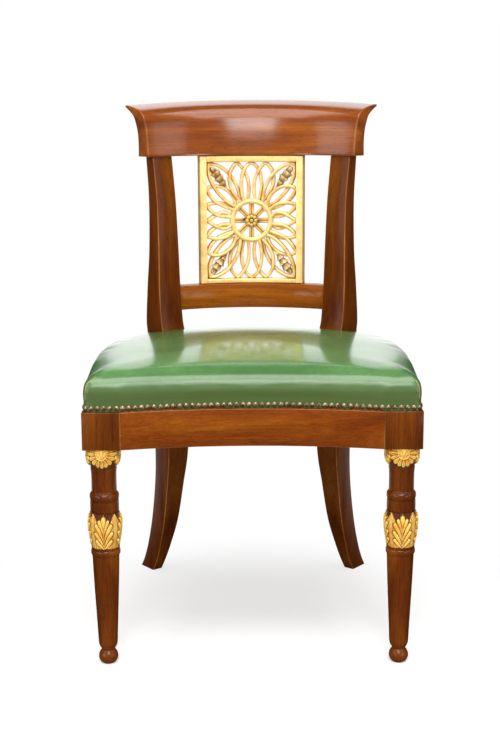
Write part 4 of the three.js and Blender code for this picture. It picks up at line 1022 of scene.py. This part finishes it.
ring_outline = [(30.6, 5.5), *rounded([(30.6, -2.6), (31.1, -3.7), (32.3, -4.3)], 3),
                *rounded([(33, -4.4), (34.2, -5.3), (35.8, -5.5), (37.4, -5.0), (38.6, -3.6)], 3),
                (39.2, -3.3), (39.8, -2.4), (39.8, 5.5)]
turns = full_turn(96)
ring_rings = [bent_place(np.stack([radius * np.sin(turns), np.full(96, roundel_depth + depth),
                                   radius * np.cos(turns)], -1))
              for radius, depth in ring_outline]
roundel_ring = add_rings("splat_roundel_shown", ring_rings, gilt_panel, bored=True, merge=False)
shade(roundel_ring, 40)
place_on_chair(roundel_ring, "giltwood", "splat_roundel")
print("roundel faces:", len(rods_and_hub.data.polygons) + len(roundel_ring.data.polygons))

# %% [markdown]
# ## Green leather
# The cover is one aniline-dyed goatskin hide, waxed and worn. It is smooth to the hand, with a
# pebble grain about a millimetre wide, soft lighter patches where sitting has rubbed it, and a low
# wax gloss that dulls toward the edge. Lower down the front and sides the colour is painted
# darker and more olive: painted shade where the hide turns away from the light above.


# %% leather
def goatskin(name, deep, middle, worn, low):
    material, add = new_material(name)
    place = add("TexCoord").outputs["Object"]
    clouds = add("TexNoise", {"Vector": place, "Scale": 1 / (90 * mm), "Detail": 3.0,
                              "Roughness": 0.5})
    mottle = add("TexNoise", {"Vector": place, "Scale": 1 / (7 * mm), "Detail": 4.0,
                              "Roughness": 0.6})
    hide = add("ValToRGB", {"Fac": clouds}, stops=[(0.34, deep), (0.5, middle), (0.7, worn)])
    flecks = add("ValToRGB", {"Fac": mottle}, stops=[(0.35, "#dcdcdc"), (0.6, "#ffffff")])
    hide = add("Mix", {0: 0.5, 6: hide, 7: flecks}, **multiplied).outputs[2]
    # Below the crown the hide blends to the low colour: painted shade on the front and sides.
    height = add("SeparateXYZ", {"Vector": place}).outputs["Z"]
    painted_low_shade = add("MapRange", {"Value": height, "From Min": 474 * mm, "From Max": 442 * mm})
    hide = add("Mix", {0: painted_low_shade, 6: hide, 7: low}, **blended).outputs[2]
    dull = add("MapRange", {"Value": height, "From Min": 470 * mm, "From Max": 456 * mm,
                            "To Min": 0.15, "To Max": 0.32})
    pebbles = add("TexVoronoi", {"Vector": place, "Scale": 1 / (1.3 * mm)}, feature="SMOOTH_F1")
    creases = add("TexNoise", {"Vector": place, "Scale": 1 / (24 * mm), "Detail": 4.0})
    grain = add("Bump", {"Height": pebbles, "Strength": 0.12, "Distance": 0.0002})
    bump = add("Bump", {"Height": creases, "Strength": 0.12, "Distance": 0.0012, "Normal": grain})
    return surfaced(material, add, {
        "Base Color": hide, "Roughness": 0.5, "Specular IOR Level": 0.3, "Coat Weight": 1.0,
        "Coat Roughness": dull, "Coat IOR": 1.55, "Normal": bump})


green_leather = goatskin("waxed_green_goatskin", "#3f7036", "#4c7c40", "#5a8a4b", "#445a22")
seam_leather = goatskin("rubbed_leather_seam", "#8a8a58", "#a09a66", "#b4ac78", "#8a7f50")
print("leather made")

# %% [markdown]
# ## The seat's outline
# Everything soft follows the seat frame's outline: a hollow front, square front corners, straight
# sides that turn in at the back, and the arc between the stiles. An inset shrinks the outline
# toward the middle, so each layer sits inside the one below, and over the crown it rounds off to
# an oval.

# %% seat outline
seat_front_y = leg_axis_y - block_half
seat_rear_y = back_axis_y + rear_rail_radius
seat_half = np.array([seat_half_width, (seat_rear_y - seat_front_y) / 2])
seat_middle = np.array([0, (seat_rear_y + seat_front_y) / 2])
corner_radius, side_start, side_end = 9, leg_axis_y - 10, leg_axis_y + 150


def half_outline():
    x = np.linspace(0, block_inner, 24)
    front = np.stack([x, front_arc_centre + np.sqrt(front_arc_radius ** 2 - x ** 2)], -1)
    turn = np.linspace(0, math.pi / 2, 8)
    corner = np.stack([seat_half_width - corner_radius * (1 - np.sin(turn)),
                       seat_front_y + corner_radius * (1 - np.cos(turn))], -1)
    straight = np.stack([np.full(16, seat_half_width), np.linspace(side_start, side_end, 16)], -1)
    end = on_arc(back_radius + 2.4, stile_angle + math.radians(4.3), 0)[:2]
    control = np.array([(seat_half_width, side_end), (seat_half_width, leg_axis_y + 265),
                        (seat_half_width - 20.5, end[1] - 39), tuple(end)])
    side = bezier(control, np.linspace(0, 1, 30)[1:, None])
    rear = on_arc(rear_rail_radius, np.linspace(stile_angle, 0, 34), 0)[:, :2]
    return np.vstack([front, corner, straight, side, rear])


half = half_outline()
whole_outline = np.vstack([half, half[-2:0:-1] * [-1, 1]])


def seat_outline(inset=0.0):
    return (whole_outline - seat_middle) * ((seat_half - inset) / seat_half) + seat_middle


def on_outline(points, inset):
    """How far out each point lies, 1 on the outline of that inset, and where it meets it."""
    outline = whole_outline - seat_middle
    turns = np.arctan2(outline[:, 1], outline[:, 0])
    order = np.argsort(turns)
    scale = (seat_half - inset[:, None]) / seat_half
    flat = (points[:, :2] - seat_middle) / scale
    reach = np.interp(np.arctan2(flat[:, 1], flat[:, 0]), turns[order],
                      np.hypot(*outline[order].T), period=2 * math.pi)
    share = np.hypot(*flat.T) / reach
    return share, flat / share[:, None] * scale + seat_middle


def crown_outline(share):
    centred = whole_outline - seat_middle
    turn = np.arctan2(*(centred / seat_half).T[::-1])
    oval = np.stack([np.cos(turn), np.sin(turn)], -1) * seat_half
    return (oval * (1 - share) + centred * share) * share + seat_middle


print("outline points:", len(whole_outline))

# %% [markdown]
# ## The stuffed seat
# The seat is stuffed over: horsehair on hessian and webbing, pulled down and nailed to a rebate in
# the rails. Stuffing pushes the leather out until the hide's tension holds it, which is pressure
# in a bag, so the form starts a little small and Blender's cloth solver inflates it. The part that
# is nailed down is pinned. The stiles then stand in notches, and the hide is tucked down round
# them.

# %% pad form
# Each ring has an inset, a level at the sides and a level at the front, where the roll is softer.
edge_rings = [
    (3.2, 416, 416), (3.2, 424, 423), (3.1, 432, 430), (1.8, 441, 436), (0.4, 450, 442),
    (-0.8, 457, 447), (-0.9, 462.5, 451), (0.6, 467, 457.5), (4.4, 470.4, 463.8),
    (10, 472, 467.6), (17, 473, 470.3), (25, 474, 472.4),
]
crown_start, crown_rise, crown_inset, front_fall = 472.6, 15.4, 15, 2
roll_end, roll_fade, fall_end, fall_fade = 140, 120, 66, 45
pad_rings = []
for inset, side_level, front_level in edge_rings:
    ring = seat_outline(inset)
    front = np.clip((seat_front_y + roll_end - ring[:, 1]) / roll_fade, 0, 1)
    front = front ** 2 * (3 - 2 * front)
    pad_rings.append(np.column_stack([ring, side_level + (front_level - side_level) * front]))
for share in np.linspace(0.08, 1, 14)[:-1]:
    inset = crown_inset + (seat_half[1] - crown_inset) * share
    ring = crown_outline(1 - inset / seat_half[1])
    crown = crown_start + crown_rise * (1 - (1 - share) ** 2.2)
    fall = np.clip((seat_front_y + fall_end - ring[:, 1]) / fall_fade, 0, 1)
    crown -= front_fall * fall ** 1.5
    pad_rings.append(np.column_stack([ring, crown]))
pad = add_rings("leather_seat_shown", pad_rings, green_leather)
remesh = pad.modifiers.new("even_skin", "REMESH")
remesh.mode = "VOXEL"
remesh.voxel_size = 6 * mm
apply_modifiers(pad)
print("pad points:", len(pad.data.vertices))


# %% pad inflated
def inflate(piece, pinned, pressure, cap, frames=20):
    start = mesh_points(piece)
    held = piece.vertex_groups.new(name="held")
    held.add([int(i) for i in np.flatnonzero(pinned(start))], 1.0, "REPLACE")
    cloth = piece.modifiers.new("hide", "CLOTH")
    cloth.settings.quality = 5
    cloth.settings.mass = 0.4
    cloth.settings.vertex_group_mass = "held"
    cloth.settings.use_pressure = True
    cloth.settings.uniform_pressure_force = pressure
    cloth.settings.effector_weights.gravity = 0
    cloth.point_cache.frame_start = 1
    cloth.point_cache.frame_end = frames
    for number in range(1, frames + 1):
        bpy.context.scene.frame_set(number)
    apply_modifiers(piece)
    bpy.context.scene.frame_set(1)
    moved = mesh_points(piece) - start
    far = np.linalg.norm(moved, axis=1, keepdims=True)
    set_points(piece, start + moved * np.minimum(1, cap / np.maximum(far, 1e-6)))
    return float(far.max())


nailed_below = 433
swelling = inflate(pad, lambda points: points[:, 2] < nailed_below, pressure=4.0, cap=3.0)
print("the hide would swell", round(swelling, 1), "mm")
smooth = pad.modifiers.new("smooth", "CORRECTIVE_SMOOTH")
smooth.iterations = 4
smooth.use_only_smooth = True
apply_modifiers(pad)
finer = pad.modifiers.new("finer", "SUBSURF")
finer.levels = finer.render_levels = 1
apply_modifiers(pad)
print("pad faces:", len(pad.data.polygons))

# %% tucks, edge and notches
stile_rings = rear_leg_rings(7)
seat_level, leather_bottom = 470, 416
stile_middle = stile_rings[np.argmin(np.abs(stile_rings[:, 0, 2] - seat_level))].mean(axis=0)
stile_half_depth, stile_half_width = 26.5, 24
tuck_depth, tuck_width = 15, 27


def leg_distance(points):
    u, w = along_leg_plane(np.abs(points[:, 0]) - stile_middle[0],
                           points[:, 1] - stile_middle[1])
    return np.hypot(np.maximum(np.abs(u) - stile_half_depth, 0),
                    np.maximum(np.abs(w) - stile_half_width, 0))


points = mesh_points(pad)
above = np.clip((points[:, 2] - 440) / 25, 0, 1)
points[:, 2] -= tuck_depth * np.exp(-(leg_distance(points) / tuck_width) ** 2) * above
tight = np.interp(points[:, 2], [416, 432, 444, 452], [3.2, 3.1, 1.8, 1.2])
share, edge_place = on_outline(points, tight)
hold = np.clip((450 - points[:, 2]) / 16, 0, 1) * (share > 0.975)
points[:, :2] += (edge_place - points[:, :2]) * hold[:, None]
low_edge = (hold > 0) & (points[:, 2] < leather_bottom + 3)
points[:, 2] = np.where(low_edge, leather_bottom, points[:, 2])
set_points(pad, points)


def cut_away(piece, tools):
    for tool in tools:
        boolean = piece.modifiers.new("cut", "BOOLEAN")
        boolean.operation = "DIFFERENCE"
        boolean.solver = "EXACT"
        boolean.object = tool
        apply_modifiers(piece)
        mesh = tool.data
        bpy.data.objects.remove(tool)
        bpy.data.meshes.remove(mesh)


# The hide is hollow below this level, just clear of the hessian.
hollow_level, hide_thickness = 434.3, 4.8
under_outline = seat_outline(hide_thickness)
under_rings = [np.column_stack([under_outline, np.full(len(under_outline), level)])
               for level in (leather_bottom - 6, hollow_level)]
under = add_rings("under_tool", under_rings, green_leather)
leg_tool = rear_leg_mesh("leg_tool_right", grown=0.6, steps=3)
cut_away(pad, [under, leg_tool, mirrored_copy(leg_tool, "leg_tool_left")])
while len(pad.data.materials) > 1:
    pad.data.materials.pop(index=len(pad.data.materials) - 1)
first_material_only(pad.data)
shade(pad, 55)
place_on_chair(pad, "green_leather", "leather_cover", "seat_stuffing")
pad_spots = mesh_points(pad)
print("leather seat", np.round(pad_spots.min(axis=0), 1), np.round(pad_spots.max(axis=0), 1),
      len(pad.data.polygons), "faces")

# %% [markdown]
# ## Corner seams
# At each front corner the hide is cut and closed with a seam that runs up from the nails and dies
# out at the roll. Rubbing has worn it pale. The seam follows the finished surface: rays sent out
# toward the corner find it, one height after another, and a thin cord is laid on the places they
# meet.

# %% corner seams
pad_tree = BVHTree.FromPolygons([v.co for v in pad.data.vertices],
                                [tuple(p.vertices) for p in pad.data.polygons])


def seam_cord(name, sign, radius=0.8, segments=8):
    out = Vector((sign * 0.84, -0.54, 0)).normalized()
    start = Vector((sign * (seat_half_width - 34), seat_front_y + 22, 0)) * mm
    hits = [pad_tree.ray_cast(Vector((start.x, start.y, level * mm)), out)[0]
            for level in np.linspace(423, 468, 24)]
    spots = np.array([hit for hit in hits if hit is not None]) / mm
    across = np.array([-out.y, out.x, 0])
    turns = full_turn(segments)
    rings = []
    for number, spot in enumerate(spots):
        ahead = unit(spots[min(number + 1, len(spots) - 1)] - spots[max(number - 1, 0)])
        proud = np.cross(across, ahead)
        wide = radius * min(1, 0.25 + (len(spots) - 1 - number) / 5)
        rings.append(spot + wide * (np.outer(np.cos(turns), across)
                                    + np.outer(np.sin(turns), proud)))
    cord = add_rings(name, rings, seam_leather, merge=False)
    shade(cord, 60)
    return place_on_chair(cord, "green_leather")


for side, sign in sides:
    seam = seam_cord(f"corner_seam_{side}", sign)
print("seam faces each:", len(seam.data.polygons))

# %% [markdown]
# ## Dome-headed nails
# A close row of bronzed brass nails holds the hide down to the rails' rebate all round. The row is
# a set of points along the outline, each with the direction it faces. A small tree puts one dome
# on each point and turns it outward, so the pitch and head can be changed in one place.


# %% nail metal
def cast_metal(name, bright, dull, roughness, metallic=1.0):
    material, add = new_material(name)
    place = add("TexCoord").outputs["Object"]
    tarnish = add("TexNoise", {"Vector": place, "Scale": 1 / (6 * mm), "Detail": 3.0})
    colour = add("ValToRGB", {"Fac": tarnish}, stops=[(0.4, bright), (0.65, dull)])
    return surfaced(material, add, {"Base Color": colour, "Metallic": metallic,
                                    "Roughness": roughness})


nail_bronze = cast_metal("bronzed_brass_nails", "#a69470", "#5f5038", 0.36, 0.85)
print("nail metal made")


# %% nails
def even_points(outline, pitch):
    closed = np.vstack([outline, outline[:1]])
    lengths = np.concatenate([[0], np.cumsum(np.linalg.norm(np.diff(closed, axis=0), axis=1))])
    count = round(lengths[-1] / pitch)
    at = (np.arange(count) + 0.5) * lengths[-1] / count
    spots, ahead, behind = (
        np.stack([np.interp((at + shift) % lengths[-1], lengths, axis) for axis in closed.T], -1)
        for shift in (0, 1.5, -1.5))
    along = unit(ahead - behind)
    return spots, np.stack([along[:, 1], -along[:, 0]], -1)


def facing_points(name, spots, outward):
    mesh = bpy.data.meshes.new(name)
    mesh.from_pydata((np.asarray(spots) * mm).tolist(), [], [])
    write_layer(mesh, "outward", outward)
    return mesh


def set_out(add, sizes, shape):
    """Put the shape on every point of the tree's input, turned the way that the point faces."""
    faced = add("InputNamedAttribute", {"Name": "outward"}, data_type="FLOAT_VECTOR")
    aim = add("AlignRotationToVector", {"Vector": faced}, axis="Z")
    return add("InstanceOnPoints", {"Points": sizes["Geometry"], "Instance": shape,
                                    "Rotation": aim})


nail_sizes = {"Head radius": 4.6 * mm, "Dome height": 2.9 * mm}
nail_level, nail_pitch, nail_inset, stile_clearance = 421.0, 9.7, 3.2, 4.9
tree, add, sizes = start_tree("dome_headed_nails", nail_sizes)
dome = add("MeshUVSphere", {"Segments": 12, "Rings": 7, "Radius": 1.0})
form = add("CombineXYZ", {"X": sizes["Head radius"], "Y": sizes["Head radius"],
                          "Z": sizes["Dome height"]})
row = set_out(add, sizes, add("Transform", {"Geometry": dome, "Scale": form}))
spots, outward = even_points(seat_outline(nail_inset), nail_pitch)
spots = np.column_stack([spots, np.full(len(spots), nail_level)])
outward = np.column_stack([outward, np.zeros(len(outward))])
clear = leg_distance(spots) > stile_clearance
nails = grow("dome_headed_nails", tree, nail_sizes, row, nail_bronze,
             facing_points("nail_row", spots[clear], outward[clear]))
place_on_chair(nails, "nail_bronze")
print("nails:", int(clear.sum()))

# %% [markdown]
# ## Under the seat
# Turned over, the chair shows how it is made: beech corner blocks screwed across the corners, jute
# webbing woven over and under and tacked to the rails, and a hessian cloth above it that holds the
# stuffing. These are working materials with no polish, so they are rough and matt.


# %% beech, jute, hessian and steel
def woven(name, light, dark, thread, cross_thread):
    material, add = new_material(name)
    place = add("TexCoord").outputs["Object"]
    axes = add("SeparateXYZ", {"Vector": place}).outputs
    waves = []
    for axis, pitch in (("X", thread), ("Y", cross_thread)):
        turn = add("Math", {0: axes[axis], 1: math.pi / (pitch * mm)}, operation="MULTIPLY")
        waves.append(add("Math", {0: add("Math", {0: turn}, operation="SINE")},
                         operation="ABSOLUTE"))
    weave = add("Math", {0: waves[0], 1: waves[1]}, operation="MULTIPLY")
    slubs = add("TexNoise", {"Vector": place, "Scale": 1 / (5 * mm), "Detail": 3.0})
    cloth = add("ValToRGB", {"Fac": weave}, stops=[(0.1, dark), (0.55, light)])
    fleck = add("ValToRGB", {"Fac": slubs}, stops=[(0.35, "#b8b8b8"), (0.6, "#ffffff")])
    cloth = add("Mix", {0: 0.7, 6: cloth, 7: fleck}, **multiplied).outputs[2]
    bump = add("Bump", {"Height": weave, "Strength": 0.7, "Distance": 0.0006})
    return surfaced(material, add, {"Base Color": cloth, "Roughness": 0.92,
                                    "Specular IOR Level": 0.2, "Normal": bump})


planed_beech = mahogany("planed_beech_blocks", "#9c7444", "#b58d5a", "#c9a472", 0.5)
jute_web = woven("jute_webbing_twill", "#b79a6c", "#7c6138", 2.4, 3.2)
hessian_cloth = woven("plain_woven_hessian", "#a88d62", "#5e4a2c", 1.8, 1.8)
screw_steel = cast_metal("blued_steel_screws", "#6f6d6a", "#45403a", 0.42)
print("working materials made")

# %% webbing, blocks
for index in range(1, 5):
    for run in ("lengthwise", "crosswise"):
        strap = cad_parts[f"webbing_{run}_{index}"]
        strap.data.materials.clear()
        strap.data.materials.append(jute_web)
for side, _ in sides:
    for end in ("front", "rear"):
        dressed(f"{end}_corner_block", planed_beech, sideways_grain, f"_{side}",
                width=1.2, worn=None, slot="beech")
print("blocks dressed")

# %% [markdown]
# ## Hessian
# The hessian is one sheet of plain-woven jute, pulled tight over the webbing and turned at the
# edges.

# %% hessian
sheet, sheet_volume = copied_node("base_cloth", "base_cloth_shown", hessian_cloth, flatten=False)
place_on_chair(sheet, "hessian", "base_cloth")

# %% [markdown]
# ## Screws
# Slotted screws hold the corner blocks, two to a block. They are small and repeated, so one tree
# makes a screw on each point, turned to its own direction. The tacks that hold the webbing lie
# between it and the hessian, where nothing can see them, and they aren't made.

# %% screws
screw_sizes = {"Head radius": 4.2 * mm, "Head height": 3 * mm, "Slot width": 1.1 * mm}
tree, add, sizes = start_tree("slotted_screws", screw_sizes)
head = add("MeshCylinder", {"Vertices": 24, "Radius": sizes["Head radius"],
                            "Depth": sizes["Head height"]})
slot_size = add("CombineXYZ", {"X": 12 * mm, "Y": sizes["Slot width"], "Z": 2.4 * mm})
slot = add("Transform", {"Geometry": add("MeshCube", {"Size": slot_size}),
                         "Translation": (0, 0, 1.5 * mm)})
slotted = add("MeshBoolean", {0: head, 1: slot}, operation="DIFFERENCE")
row = set_out(add, sizes, slotted)
block_face, rear_block_face = 19.2, -52 - 24 + 1.5
front_way = np.array([-1, 1, 0]) / math.sqrt(2)
rear_way = in_leg_plane(-1, 0, 0) - in_leg_plane(0, 0, 0)
screw_spots, screw_ways = [], []
for _, sign in sides:
    for level in (373.5, 397.5):
        corner = np.array([block_inner, leg_axis_y + block_half, level])
        for spot, way in ((corner + front_way * block_face, front_way),
                          (in_leg_plane(rear_block_face, 0, level), rear_way)):
            screw_spots.append(spot * [sign, 1, 1])
            screw_ways.append(way * [sign, 1, 1])
screws = grow("corner_block_screws", tree, screw_sizes, row, screw_steel,
              facing_points("screw_places", screw_spots, screw_ways))
shade(screws, 40)
place_on_chair(screws, "steel", *[f"{end}_block_screw_{level}_{side}" for end in ("front", "rear")
                                  for level in ("lower", "upper") for side in ("left", "right")])
print("screws:", len(screw_spots))
